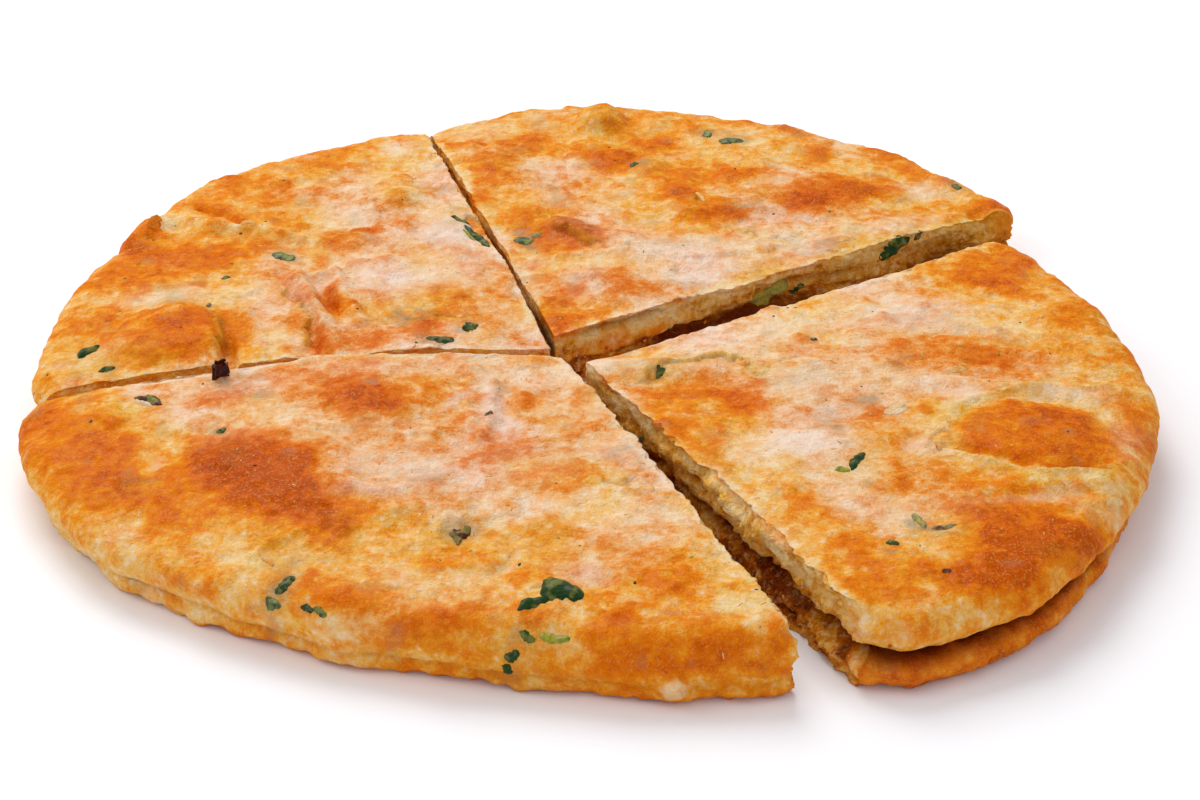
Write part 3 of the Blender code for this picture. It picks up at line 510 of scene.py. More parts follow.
def grain(points, size, seed):
    """Random lumps, -1 to 1, that are size across: one number, or one for each way."""
    table = np.random.default_rng(seed).uniform(-1, 1, (32, 32, 32))
    scaled = points / size
    cell = np.floor(scaled).astype(int)
    part = scaled - cell
    part = part * part * (3 - 2 * part)
    total = np.zeros(len(points))
    for corner in itertools.product((0, 1), repeat=3):
        weight = np.prod(np.where(corner, part, 1 - part), axis=1)
        spot = (cell + corner) % 32
        total = total + weight * table[spot[:, 0], spot[:, 1], spot[:, 2]]
    return total


def smooth_step(value, start, end):
    """0 before start, 1 past end, and a soft rise between."""
    share = np.clip((value - start) / (end - start), 0, 1)
    return share * share * (3 - 2 * share)


def lobe(place, crest, start, peak, end):
    """A rounded bulge of the rim: from start out to peak at crest, and back to end."""
    rise = np.clip(place / crest, 0, 1)
    fall = np.clip((place - crest) / (1 - crest), 0, 1)
    rising = start + (peak - start) * np.sqrt(1 - (1 - rise) ** 2)
    falling = end + (peak - end) * np.sqrt(1 - fall ** 2)
    return np.where(place < crest, rising, falling)


def fold_height(quarter, turn):
    """The height of the fold between the lobes, as a share: it wanders up and down a little."""
    around = turn[:, None] * quarter.rim[0]
    wander = swell(around, FOLD_WANDER_SIZE, quarter.seed + 15)
    return smooth_through(quarter.fold, turn) + FOLD_WANDER * wander


def rim_offset(quarter, turn, level):
    """How far the rim's surface lies from the rim's radius, in two lobes with a fold between."""
    fold = fold_height(quarter, turn)
    depth = smooth_through(quarter.fold_depth, turn)
    reach = smooth_through(quarter.lower_reach, turn)
    lower = lobe(np.clip(level / fold, 0, 1), LOWER_CREST, reach - FOOT_ROUND, reach, -depth)
    upper = lobe(np.clip((level - fold) / (1 - fold), 0, 1), UPPER_CREST, -depth, 0.0, -CRUST_ROUND)
    return np.where(level < fold, lower, upper)


def cut_relief(quarter, side, along, level):
    """How far a cut face stands out from its plane, and how open the gap between the lobes is."""
    fold = quarter.fold[0] if side == 0 else quarter.fold[-1]
    spots = np.stack([along, level * CRUMB_SIZE * CRUMB_FLATNESS], axis=1)
    length = spots[:, :1]
    wander = swell(length, CRUMB_SIZE * 3, quarter.seed + side)
    layers = np.sin(2 * math.pi * (level * LAYERS + LAYER_WANDER * wander)) * LAYER_RELIEF
    crumb = swell(spots, CRUMB_SIZE, quarter.seed + 5 + side) * CRUMB_RELIEF
    uneven = swell(length, CRUMB_SIZE * CRUMB_FLATNESS, quarter.seed + 9 + side)
    gap = np.clip(GAP_OPEN + GAP_UNEVEN * uneven, 0, 1) * np.exp(-((level - fold) / GAP_HEIGHT) ** 2)
    rough = np.sin(math.pi * np.clip(level, *CRUMB_LEVELS))
    return (layers + crumb) * rough - gap * quarter.seams[side], gap


def patch(x, y, place, sharpness=1.5):
    """How far into a long patch each spot is, 0 to 1; a seventh number makes its edge harder."""
    centre_x, centre_y, half_length, half_width, pointing = place[:5]
    sharpness = place[6] if len(place) > 6 else sharpness
    cos, sin = math.cos(math.radians(pointing)), math.sin(math.radians(pointing))
    lengthwise = ((x - centre_x) * cos + (y - centre_y) * sin) / half_length
    sideways = ((y - centre_y) * cos - (x - centre_x) * sin) / half_width
    return np.exp(-(lengthwise ** 2 + sideways ** 2) ** sharpness)


def off_line(x, y, line):
    """How far each spot lies from a line through points: more than 0 on its left, less on its right."""
    spots = np.stack([x, y], axis=1)
    nearest = np.full(len(x), np.inf)
    for start, end in zip(np.array(line, float), np.array(line[1:], float)):
        run = end - start
        along = np.clip((spots - start) @ run / (run @ run), 0, 1)
        gap = spots - start - along[:, None] * run
        left = np.sign(run[0] * (spots[:, 1] - start[1]) - run[1] * (spots[:, 0] - start[0]))
        far = np.linalg.norm(gap, axis=1)
        nearest = np.where(far < np.abs(nearest), far * left, nearest)
    return nearest


# How ragged a cut is: lump size and relief, how sharp the lumps are, and how flat they lie.
CUT_RAGGED = ((4.4, 0.42), (2.0, 0.28), (0.9, 0.34))
RAGGED_SHARPNESS = 2.4
CUT_FLATNESS = 2.4
# Small bubbles in the crust: how many to a quarter, how wide and how high.
BUBBLES = 190
BUBBLE_RADII = (0.9, 3.4)
BUBBLE_HEIGHT = 0.24
# How far the edges of patches wander, and the shares of that for creases and for torn skins, whose
# edges are also ragged by small lumps.
WANDER = 2.4
CREASE_WANDER = 0.4
SKIN_WANDER = 0.9
SKIN_RAGGED = 0.7
SKIN_LUMPS = 1.1
# How steep the edge of a torn patch is, and over what width a torn skin's edge stands up.
TORN_EDGE = 6.0
SKIN_EDGE = 0.35
# How wide the paler band along a cut is.
EDGE_BAND = 1.8


def wedge(quarter, first_share, second_share, level):
    """Bends a unit block into the quarter, by the steps that shape the solid, and adds finer relief.

    The block's corner (0, 0) becomes the tip, its two near sides the cuts and its two far sides the
    rim; level runs from the pan side up to the crust. Gives points, and what the finish needs.
    """
    out = np.maximum(first_share, second_share)
    safe = np.maximum(out, 1e-9)
    on_first = first_share >= second_share
    turn = np.where(on_first, 0.5 * second_share / safe, 1 - 0.5 * first_share / safe)
    first, second = np.radians(quarter.cuts)
    way = first + (second - first) * turn
    radius = smooth_through(quarter.rim, turn) + rim_offset(quarter, turn, level)
    for cut, corner in zip((first, second), quarter.corners):
        from_corner = np.clip(radius * np.abs(np.sin(way - cut)) / CORNER_WIDTH, 0, 1)
        radius = radius - corner * (1 - from_corner) ** 2
    drip = np.zeros(len(way))
    for nub_way, nub_level, size, stick, pale in quarter.nubs:
        aside = (way - math.radians(nub_way)) * radius / size
        above = (level - nub_level) * quarter.crown[0] / size
        bulge = np.exp(-aside ** 2 - above ** 2)
        radius = radius + stick * bulge
        drip = np.maximum(drip, pale * smooth_step(bulge, 0.25, 0.5) * (out > 0.98))
    around = np.stack([way * quarter.rim[0], level * quarter.crown[0]], axis=1)
    lumps = swell(around, RIM_SWELL_SIZE, quarter.seed + 3)
    distance = out * radius + out ** 6 * RIM_SWELL_RELIEF * lumps
    x = quarter.tip[0] + distance * np.cos(way)
    y = quarter.tip[1] + distance * np.sin(way)

    # The height of the crust: a curve through tip, halfway and rim, with swellings and blisters.
    tip_high, halfway, rim_high = quarter.crown
    halfway_high = smooth_through(halfway, turn)
    edge_high = smooth_through(rim_high, turn)
    crown = (tip_high * (1 - out) * (1 - 2 * out) + halfway_high * 4 * out * (1 - out)
             + edge_high * out * (2 * out - 1))
    crown = crown + SWELL_RELIEF * swell(np.stack([x, y], axis=1), SWELL_SIZE, quarter.seed)
    for blister in quarter.blisters:
        crown = crown + blister[5] * patch(x, y, blister)

    # Finer relief: creases, torn skin and small bubbles.
    plan = np.stack([x, y, np.zeros(len(x))], axis=1)
    shifted = [axis + WANDER * sum(share * grain(plan, size, quarter.seed + k)
                                   for size, share in ((6, 0.5), (2.5, 0.3), (1.1, 0.2)))
               for k, axis in ((101, x), (102, y))]
    for half_width, height, line in quarter.creases:
        far = off_line(x + CREASE_WANDER * (shifted[0] - x), y + CREASE_WANDER * (shifted[1] - y),
                       line) / half_width
        crown = crown + height * np.exp(-far ** 2)
    edge, painted_shade_under_skin = np.zeros(len(x)), np.zeros(len(x))
    for fade, height, line in quarter.skins:
        ends = np.array((line[0], line[-1]), float)
        far = off_line(x + SKIN_WANDER * (shifted[0] - x), y + SKIN_WANDER * (shifted[1] - y), line)
        far = far + SKIN_RAGGED * grain(plan, SKIN_LUMPS, quarter.seed + 103)
        from_end = np.minimum(*(np.hypot(x - end[0], y - end[1]) for end in ends))
        raised = np.clip(far / SKIN_EDGE, 0, 1) * np.exp(-(np.maximum(far, 0) / fade) ** 2)
        whole = np.clip(from_end / fade, 0, 1)
        crown = crown + height * raised * whole
        edge = np.maximum(edge, np.exp(-((far - 0.5) / 0.7) ** 2) * whole)
        # Painted shade along the foot of the torn skin's raised edge.
        painted_shade_under_skin = np.maximum(painted_shade_under_skin, np.exp(-((far + 0.3) / 0.35) ** 2) * whole)
    torn, torn_wall_shade = np.zeros(len(x)), np.zeros(len(x))
    for tear in quarter.torn:
        share = patch(*shifted, tear)
        inside = np.clip((share - 0.4) * TORN_EDGE, 0, 1)
        crown = crown - tear[5] * inside
        torn = np.maximum(torn, inside)
        # Painted shade on the wall of the torn patch.
        torn_wall_shade = np.maximum(torn_wall_shade, tear[5] * np.exp(-((share - 0.45) / 0.2) ** 2))
    rng = np.random.default_rng(quarter.seed + 200)
    low, high = plan.min(axis=0), plan.max(axis=0)
    bubbled = np.zeros(len(x))
    for _ in range(BUBBLES):
        centre = rng.uniform(low, high)
        size = rng.uniform(*BUBBLE_RADII)
        stretch = rng.uniform(0.6, 1.4)
        across = ((shifted[0] - centre[0]) * stretch) ** 2 + ((shifted[1] - centre[1]) / stretch) ** 2
        dome = np.sqrt(np.clip(1 - across / size ** 2, 0, 1))
        swelling = BUBBLE_HEIGHT * math.sqrt(size) * rng.uniform(-0.5, 1.2) * dome
        crown, bubbled = crown + swelling, bubbled + swelling
    z = level * crown

    # The cut faces' relief, which fades into the crust and towards the tip.
    gap = np.zeros(len(x))
    cut_share = np.zeros(len(x))
    painted_hollow_shade = np.zeros(len(x))
    crusty = np.zeros(len(x))
    near_cut = np.zeros(len(x))
    for side, cut, outward, share in ((0, first, -1, second_share), (1, second, 1, first_share)):
        away = distance * np.abs(np.sin(way - cut))
        fade = np.clip(1 - away / CUT_BLEND, 0, 1) * np.clip(distance / TIP_BLEND, 0, 1)
        near_cut = np.maximum(near_cut, np.clip(1 - away / EDGE_BAND, 0, 1))
        slope = quarter.lean[side] * (1 - level) * distance / quarter.rim[0]
        relief, open_gap = cut_relief(quarter, side, distance, level)
        face = np.stack([distance, z * CUT_FLATNESS, np.full(len(z), side * 50.0)], axis=1)
        rough = sum(height * np.tanh(RAGGED_SHARPNESS * grain(face, size, quarter.seed + 80))
                    for size, height in CUT_RAGGED)
        relief = relief + quarter.ragged[side] * rough
        for shaded_hollow in quarter.hollows:
            if shaded_hollow[0] == side:
                dent = patch(distance, level, (shaded_hollow[1], shaded_hollow[2], shaded_hollow[3], shaded_hollow[4], 0), 2.5)
                relief = relief - shaded_hollow[5] * dent
                # Painted shade in the hollow, heavier in its upper part, under the lip that shades it.
                shaded = 0.35 + 0.65 * smooth_step((level - shaded_hollow[2]) / shaded_hollow[4], -0.2, 0.7)
                painted_hollow_shade = np.where(share < 1e-6, np.maximum(painted_hollow_shade, shaded_hollow[6] * dent * shaded), painted_hollow_shade)
                crusty = np.where(share < 1e-6, np.maximum(crusty, -shaded_hollow[6] * dent), crusty)
        relief = (relief + slope) * fade * outward
        x = x - relief * math.sin(cut)
        y = y + relief * math.cos(cut)
        here = (share < 1e-6) & (level < 1)
        gap = np.where(here, open_gap, gap)
        cut_share = np.where(here, 1.0, cut_share)
    points = np.stack([x, y, z], axis=1)
    return points, dict(out=out, turn=turn, gap=gap, cut=cut_share, torn=torn, edge=edge, shifted=shifted,
                        crown=crown, painted_hollow_shade=painted_hollow_shade, crusty=crusty, bubbled=bubbled, torn_wall_shade=torn_wall_shade,
                        drip=drip, painted_shade_under_skin=painted_shade_under_skin, near_cut=near_cut)


def level_heights(quarter):
    """The levels of the block's side: close together where a lobe turns over."""
    fold = sum(quarter.fold) / len(quarter.fold)
    lower = [fold * (1 - math.cos(math.pi * k / LOWER_CELLS)) / 2 for k in range(LOWER_CELLS)]
    upper = [fold + (1 - fold) * (1 - math.cos(math.pi * k / UPPER_CELLS)) / 2
             for k in range(UPPER_CELLS + 1)]
    return np.array(lower + upper)


def block_mesh():
    """The unit block: a fine grid, extruded and divided into levels, with a coarse pan side."""
    bm = bmesh.new()
    bmesh.ops.create_grid(bm, x_segments=CELLS, y_segments=CELLS, size=0.5)
    base = list(bm.faces)
    raised = bmesh.ops.extrude_face_region(bm, geom=base, use_keep_orig=True)["geom"]
    bmesh.ops.translate(bm, vec=(0, 0, 1), verts=[v for v in raised if isinstance(v, bmesh.types.BMVert)])
    bmesh.ops.reverse_faces(bm, faces=base)
    upright = [e for e in bm.edges if abs(e.verts[0].co.z - e.verts[1].co.z) > 0.5]
    bmesh.ops.subdivide_edges(bm, edges=upright, cuts=LOWER_CELLS + UPPER_CELLS - 1)
    inner = [v for v in bm.verts if v.co.z == 0 and max(abs(v.co.x), abs(v.co.y)) < 0.4999]
    bmesh.ops.unsubdivide(bm, verts=inner, iterations=4)
    return bm


# The grain of the surface, laid along its normals: lump size and relief, on the crust, on the lower
# lobe and on the cuts, where it is drawn out along the layers.
CRUST_GRAIN = ((5.0, 0.30), (2.4, 0.26), (1.2, 0.16))
FOOT_GRAIN = ((3.2, 0.45), (1.5, 0.35))
CUT_GRAIN = ((3.6, 0.40), (1.8, 0.30), (0.9, 0.30))
CUT_STRETCH = np.array((0.45, 0.45, 1.6))
PAN_RELIEF = 0.35
# How thick the crust is above the crumb of a cut, and the browned pan side below it.
CRUST_THICK = 1.3
PAN_CRUST_THICK = 0.9
# How browned the plain crust, the pan side and the torn patches are, from 0 for cream to 1 for brown,
# and how much paler the band along a cut is, evenly and in places.
CRUST_TONE = 0.385
PAN_TONE = 0.62
TORN_TONE = 0.55
BAND_PALER = (0.12, 0.5)
# The unevenness of the browning: lump size and share, for soft mottling and for blots with an edge.
MOTTLING = ((9, 0.04), (4.5, 0.07), (2.6, 0.14), (1.3, 0.10))
BLOTS = ((6, 0.05), (2.9, 0.11), (4.0, -0.08), (2.1, -0.10))


def dress(bm, quarter):
    """Bends the block into the quarter, roughens it, and works out its finish at each point."""
    block = np.array([v.co[:] for v in bm.verts])
    shares = block[:, :2] + 0.5
    shares = shares - EDGE_FINENESS * np.sin(2 * math.pi * shares) / (2 * math.pi)
    levels = level_heights(quarter)
    level = levels[np.rint(block[:, 2] * (len(levels) - 1)).astype(int)]
    points, about = wedge(quarter, shares[:, 0], shares[:, 1], level)
    for vertex, point in zip(bm.verts, points):
        vertex.co = point
    bm.normal_update()
    normals = np.array([v.normal[:] for v in bm.verts])
    cut, out = about["cut"], about["out"]
    x, y = about["shifted"]

    crust_grain = sum(height * grain(points, size, quarter.seed + 20 + k)
                      for k, (size, height) in enumerate(CRUST_GRAIN))
    stretched = points * CUT_STRETCH
    cut_grain = sum(height * grain(stretched, size * 0.6, quarter.seed + 30 + k)
                    for k, (size, height) in enumerate(CUT_GRAIN))
    inner = cut * smooth_step(level, 0.0, 0.12) * smooth_step(1 - level, 0.0, 0.08)
    inner = inner * np.where(about["turn"] < 0.5, *quarter.ragged)
    foot_grain = sum(height * grain(points, size, quarter.seed + 45) for size, height in FOOT_GRAIN)
    beneath = smooth_step(out, 0.985, 0.999) * (level < fold_height(quarter, about["turn"]))
    relief = np.where(cut > 0, cut_grain * inner, crust_grain + foot_grain * beneath)
    points = points + normals * relief[:, None]
    pan = (level == 0) & (out < 0.999)
    points[:, 2] = np.where(level == 0, 0, np.maximum(points[:, 2], 0.02))
    lifted = PAN_RELIEF * np.clip(grain(points, 7, quarter.seed + 40) + 0.2, 0, 1)
    from_cuts = np.minimum(shares[:, 0], shares[:, 1])
    inland = smooth_step(1 - out, 0.0, 0.08) * smooth_step(from_cuts, 0, 0.05)
    points[:, 2] += np.where(pan, lifted * inland, 0)

    # The finish.
    plan = np.stack([x, y, np.zeros(len(x))], axis=1)
    mottled = sum(share * grain(points, size, quarter.seed + 50 + k)
                  for k, (size, share) in enumerate(MOTTLING))
    blots = sum(share * smooth_step(grain(points, size, quarter.seed + 55 + k), 0.12, 0.3)
                for k, (size, share) in enumerate(BLOTS))
    spots = sum(p[5] * patch(x, y, p) for p in quarter.browned)
    calm = 1 - 0.75 * np.clip(np.abs(spots) / 0.4, 0, 1)
    browned = CRUST_TONE + 0.6 * mottled + blots * calm + 0.22 * crust_grain + 0.3 * about["bubbled"] + spots
    in_places = np.clip(grain(points, 2.0, quarter.seed + 58), 0, 1)
    browned = browned - (1 - cut) * about["near_cut"] * (BAND_PALER[0] + BAND_PALER[1] * in_places)
    clouded = np.clip(grain(points, 7, quarter.seed + 60), 0, 1)
    # The milky tone: pinkish white, partly lifted skin and partly a painted sheen.
    milky_skin_and_sheen = 0.04 + 0.7 * clouded * grain(points, 3, quarter.seed + 61)
    lifted_skin_and_sheen = sum(p[5] * patch(x, y, p, 1.2) for p in quarter.milky_skin_and_sheen)
    milky_skin_and_sheen = milky_skin_and_sheen * (1 - smooth_step(browned, 0.4, 0.6)) + 1.25 * lifted_skin_and_sheen
    leafy = sum(p[5] * patch(x, y, p) for p in quarter.leafy)
    leafy = leafy * np.clip(0.75 + 1.1 * grain(points, 1.8, quarter.seed + 64), 0, 1.4)
    leafy = leafy + 0.25 * smooth_step(grain(points, 3.5, quarter.seed + 62), 0.5, 0.8)
    olive = sum(p[5] * patch(x, y, p) for p in quarter.olive)
    olive = olive + 0.3 * smooth_step(grain(points, 6, quarter.seed + 63), 0.3, 0.8) + 0.9 * about["edge"]

    # The rim: orange over its shoulder, pale under it, painted shade in the fold, tan on the lower lobe.
    rim = smooth_step(out, 0.985, 0.999) * (1 - cut)
    fold = fold_height(quarter, about["turn"])
    groove = (smooth_through(quarter.fold_depth, about["turn"])
              + smooth_through(quarter.lower_reach, about["turn"]))
    under_tone, lower_tone = (smooth_through(tones, about["turn"]) for tones in quarter.rim_tones)
    below = (1 - smooth_step(level, fold + 0.1, fold + 0.32)) * (level > fold) * rim
    lower = (level <= fold) * rim
    foot = 1 - smooth_step(level, 0.0, 0.16)
    browned = browned + 0.06 * rim
    browned = browned * (1 - below) + (under_tone + mottled) * below
    browned = browned * (1 - lower) + (lower_tone + 0.25 * foot + 1.5 * mottled) * lower
    olive = olive + 0.12 * lower
    # Painted shade in the fold between the lobes, darker where the groove is deeper.
    painted_fold_shade = np.exp(-((level - fold + 0.02) / 0.07) ** 2) * rim * np.clip((groove - 0.9) / 3, 0.12, 1)
    browned = np.where(pan, PAN_TONE + 1.6 * mottled, browned)

    # The cuts: crumb under the crust, with painted shade in the gap between the layers and in hollows.
    crust_left = (1 - level) * about["crown"]
    crumb = cut * smooth_step(crust_left + 0.6 * grain(points, 1.4, quarter.seed + 70), 0.2, CRUST_THICK)
    crumb = crumb * smooth_step(points[:, 2], 0.3, PAN_CRUST_THICK)
    torn = about["torn"] * smooth_step(level, 0.7, 0.9)
    crumb = crumb * (1 - torn) * (1 - smooth_step(out, 0.93, 0.985)) * (1 - about["crusty"])
    # Painted shade on the cuts: the open gap between the layers and the dips of the crumb's grain, then the
    # hollows' shade, the fold, the foot of raised skin edges and the walls of torn patches.
    open_gap = np.clip(about["gap"], 0, 1) ** 1.5
    shaded_hollow = np.maximum(open_gap, 0.9 * smooth_step(-relief, 0.28, 0.7)) * cut * inner
    shaded_hollow = np.maximum(shaded_hollow, about["painted_hollow_shade"])
    shaded_hollow = np.maximum(np.maximum(shaded_hollow, painted_fold_shade), 0.3 * about["painted_shade_under_skin"])
    shaded_hollow = np.maximum(shaded_hollow, 0.8 * np.clip(about["torn_wall_shade"], 0, 1) * (level > 0.99))
    side_fold = np.where(about["turn"] < 0.5, quarter.fold[0], quarter.fold[-1])
    upper_tone, lower_tone = quarter.crumb_tones
    deep = 1 - smooth_step(level, side_fold - 0.05, side_fold + 0.1)
    shreds = grain(points * CUT_STRETCH, 2.0, quarter.seed + 71)
    crumb_tone = upper_tone + (lower_tone - upper_tone) * deep
    # The crumb is painted darker in the dips of its grain and paler on its lumps: painted shade.
    crumb_tone = crumb_tone + (0.25 + 0.45 * deep) * shreds - 0.25 * relief
    crumb_tone = crumb_tone + 0.12 * smooth_step(grain(points, 1.6, quarter.seed + 72), 0.1, 0.4)
    crumb_tone = crumb_tone - 0.14 * smooth_step(level, 0.62, 0.85)
    browned = browned * (1 - crumb) + crumb_tone * crumb
    browned = browned + 0.08 * about["crusty"]
    browned = browned * (1 - torn) + (TORN_TONE + mottled + 0.8 * crust_grain) * torn
    browned, milky_skin_and_sheen = browned * (1 - 0.5 * about["drip"]), np.maximum(milky_skin_and_sheen, 0.38 * about["drip"])

    golden = 0.5 + 0.8 * grain(points, 9, quarter.seed + 90) + 0.8 * smooth_step(out, 0.72, 0.97)
    golden = golden + sum(patch(x, y, p) for p in quarter.golden) + torn + about["crusty"] + 0.6 * lower
    finish = dict(browned=browned, milky_skin_and_sheen=milky_skin_and_sheen, leafy=leafy, olive=olive, crumb=crumb, shaded_hollow=shaded_hollow,
                  golden=golden)
    points[:, :2] -= MIDDLE
    for vertex, point in zip(bm.verts, points * MM):
        vertex.co = point
    return finish


# Pan-fried wheat dough: a thin crust, cream where it hardly touched the pan, golden where oil pooled and
# orange to deep brown where it pressed on the iron, grainy with flour and nearly matt.
fried_dough, tree = new_material("fried_wheat_dough")
place = node(tree, "TexCoord").outputs["Object"]
amount = {name: node(tree, "Attribute", attribute_name=name).outputs["Fac"]
          for name in ("browned", "milky_skin_and_sheen", "leafy", "olive", "crumb", "shaded_hollow", "golden")}
GRAIN_SIZES = {"mottle": 1.5, "flour": 0.9, "fine": 0.45, "specks": 0.6, "blots": 2.8, "streaks": 0.8,
               "pores": 1.1}
drawn_out = node(tree, "VectorMath", {1: (0.7, 1, 1)}, {0: place}, operation="MULTIPLY").outputs["Vector"]
grains = {name: node(tree, "TexNoise", {"Scale": 1 / (size * MM), "Detail": 3.0, "Roughness": 0.62},
                     {"Vector": drawn_out if name == "streaks" else place}).outputs["Fac"]
          for name, size in GRAIN_SIZES.items()}


def between(tree, value, start, end, low=0.0, high=1.0):
    """Maps a value from the range start to end onto low to high, and no further."""
    return node(tree, "MapRange", {"From Min": start, "From Max": end, "To Min": low, "To Max": high},
                {"Value": value}).outputs["Result"]


def total(tree, first, second, operation="ADD"):
    """Two values added, or put together in another way."""
    sockets = {k: value for k, value in enumerate((first, second)) if not isinstance(value, float)}
    values = {k: value for k, value in enumerate((first, second)) if isinstance(value, float)}
    return node(tree, "Math", values, sockets, operation=operation, use_clamp=True).outputs["Value"]


def mixed(tree, share, first, second):
    """A mix of two colours, each a socket or a hex colour."""
    values = {k: (*linear(c), 1) for k, c in ((6, first), (7, second)) if isinstance(c, str)}
    sockets = {k: c for k, c in ((6, first), (7, second)) if not isinstance(c, str)}
    return node(tree, "Mix", values, {0: share, **sockets}, data_type="RGBA").outputs[2]


def toned(tree, tone, *stops):
    """The colour that a tone has on a ramp of places and colours."""
    return node(tree, "ValToRGB", links={"Fac": tone}, stops=stops).outputs["Color"]


blotted = total(tree, amount["browned"], between(tree, grains["blots"], 0.44, 0.56, -0.06, 0.06))
rough_tone = total(tree, blotted, between(tree, grains["mottle"], 0.34, 0.66, -0.09, 0.09))
streaked = total(tree, rough_tone, between(tree, grains["streaks"], 0.35, 0.65, -0.04, 0.04))
tone = total(tree, streaked, between(tree, grains["fine"], 0.34, 0.66, -0.10, 0.10))
golden = toned(tree, tone, (0.0, "F0D09A"), (0.2, "EDBA66"), (0.38, "ECA53A"), (0.54, "E88D18"),
               (0.68, "E07504"), (0.84, "D46000"), (1.0, "B64800"))
ruddy = toned(tree, tone, (0.0, "F2D8C4"), (0.2, "EFC6A6"), (0.38, "EAB084"), (0.54, "E4934E"),
              (0.68, "DC7020"), (0.84, "CE560C"), (1.0, "A83C04"))
colour = mixed(tree, amount["golden"], ruddy, golden)
# Pinkish white, partly lifted skin and partly a painted sheen.
milk = toned(tree, tone, (0.0, "F0DCD0"), (0.5, "E8C0A8"), (1.0, "D07C40"))
colour = mixed(tree, total(tree, amount["milky_skin_and_sheen"], 0.75, "MULTIPLY"), colour, milk)
oily = toned(tree, tone, (0.0, "EACC7C"), (0.5, "E0A22C"), (1.0, "A05804"))
colour = mixed(tree, total(tree, amount["olive"], 0.75, "MULTIPLY"), colour, oily)
floury = total(tree, between(tree, grains["flour"], 0.54, 0.62),
               between(tree, tone, 0.3, 0.62, 0.5, 0.0), "MULTIPLY")
colour = mixed(tree, floury, colour, "F3DCC0")
sizzled = total(tree, between(tree, grains["fine"], 0.52, 0.62, 0.0, 0.45),
                between(tree, tone, 0.55, 0.8), "MULTIPLY")
colour = mixed(tree, sizzled, colour, "F0A04A")
leaf_tint = toned(tree, grains["mottle"], (0.35, "6B664C"), (0.65, "AFA284"))
colour = mixed(tree, total(tree, amount["leafy"], 0.7, "MULTIPLY"), colour, leaf_tint)
crumbs = toned(tree, tone, (0.0, "F6DAA0"), (0.25, "F0B858"), (0.5, "E09016"), (0.75, "B45A04"),
               (1.0, "6A2200"))
ochre = toned(tree, grains["mottle"], (0.4, "D29A34"), (0.6, "BC8418"))
crumbs = mixed(tree, total(tree, amount["olive"], 0.6, "MULTIPLY"), crumbs, ochre)
# Painted shade in the crumb's pores.
pore_shade = total(tree, between(tree, grains["pores"], 0.36, 0.46, 0.65, 0.0),
                   between(tree, tone, 0.3, 0.65, 0.15, 1.0), "MULTIPLY")
crumbs = mixed(tree, pore_shade, crumbs, "A4500A")
# Painted highlights: pale specks on the crumb.
pore_highlights = total(tree, between(tree, grains["pores"], 0.54, 0.62, 0.0, 0.6),
                    between(tree, tone, 0.45, 0.85, 1.0, 0.4), "MULTIPLY")
crumbs = mixed(tree, pore_highlights, crumbs, "F4D496")
colour = mixed(tree, amount["crumb"], colour, crumbs)
# Painted shade: dark red-brown laid over the gaps, fold, hollows and torn edges.
colour = mixed(tree, total(tree, amount["shaded_hollow"], 0.9, "MULTIPLY"), colour, "641C02")
colour = mixed(tree, between(tree, grains["specks"], 0.66, 0.74, 0.0, 0.5), colour, "A8501C")
rough = total(tree, total(tree, grains["flour"], 0.35, "MULTIPLY"),
              total(tree, grains["fine"], 0.2, "MULTIPLY"))
rough = total(tree, rough, total(tree, grains["streaks"], 0.2, "MULTIPLY"))
porous = total(tree, grains["pores"], amount["crumb"], "MULTIPLY")
rough = total(tree, rough, total(tree, porous, 0.5, "MULTIPLY"))
bumped = node(tree, "Bump", {"Strength": 1.0, "Distance": 0.95 * MM}, {"Height": rough})
sheen = between(tree, grains["mottle"], 0.3, 0.7, 0.4, 0.62)
set_surface(tree, {"Specular IOR Level": 0.01, "Coat Weight": 0.05, "Coat Roughness": 0.15,
                   "Subsurface Weight": 0.1, "Subsurface Radius": (1.0, 0.45, 0.2),
                   "Subsurface Scale": 1.2 * MM},
            {"Base Color": colour, "Roughness": sheen, "Normal": bumped.outputs["Normal"]})

block = block_mesh()
crusts = {}
for quarter in QUARTERS:
    bm = block.copy()
    finish = dress(bm, quarter)
    bmesh.ops.triangulate(bm, faces=bm.faces)
    crusts[quarter.name] = BVHTree.FromBMesh(bm)
    piece = new_piece(quarter.name.replace("slice", "fried_quarter"), bm, fried_dough)
    for name, values in finish.items():
        layer = piece.data.attributes.new(name, "FLOAT", "POINT")
        layer.data.foreach_set("value", np.clip(values, 0, 1).astype(np.float32))
    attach(piece, "root")
    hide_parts(quarter.name)
    print(piece.name, len(piece.data.polygons))
block.free()

# The scallion. Chopped leaves and rings of stalk, rolled in with the dough: thin wavy blades pressed
# into the crust and the cuts, fried dark green and wet, a few of them yellow-green, grey or browned.
# Sizes are in millimetres and degrees: how finely a blade is divided, how it tapers to its ends, how
# ragged and wavy it is, and from how far out it is cast onto the crust.
BLADE_CELLS = (14, 7)
BLADE_TAPER = 0.5
BLADE_RAGGED = 0.10
BLADE_CAST = 20.0
BLADE_WAVE = 0.16


@dataclass
class Blade:
    """A bit of leaf or skin: where, length, width, the way it points, its shade, how it is set in."""
    x: float
    y: float
    length: float
    width: float
    pointing: float
    shade: float
    z: float = 11
    facing: tuple = (-90, 90)
    sunk: float = 0.6
    stands: float = 0.32
    curl: float = 0.0


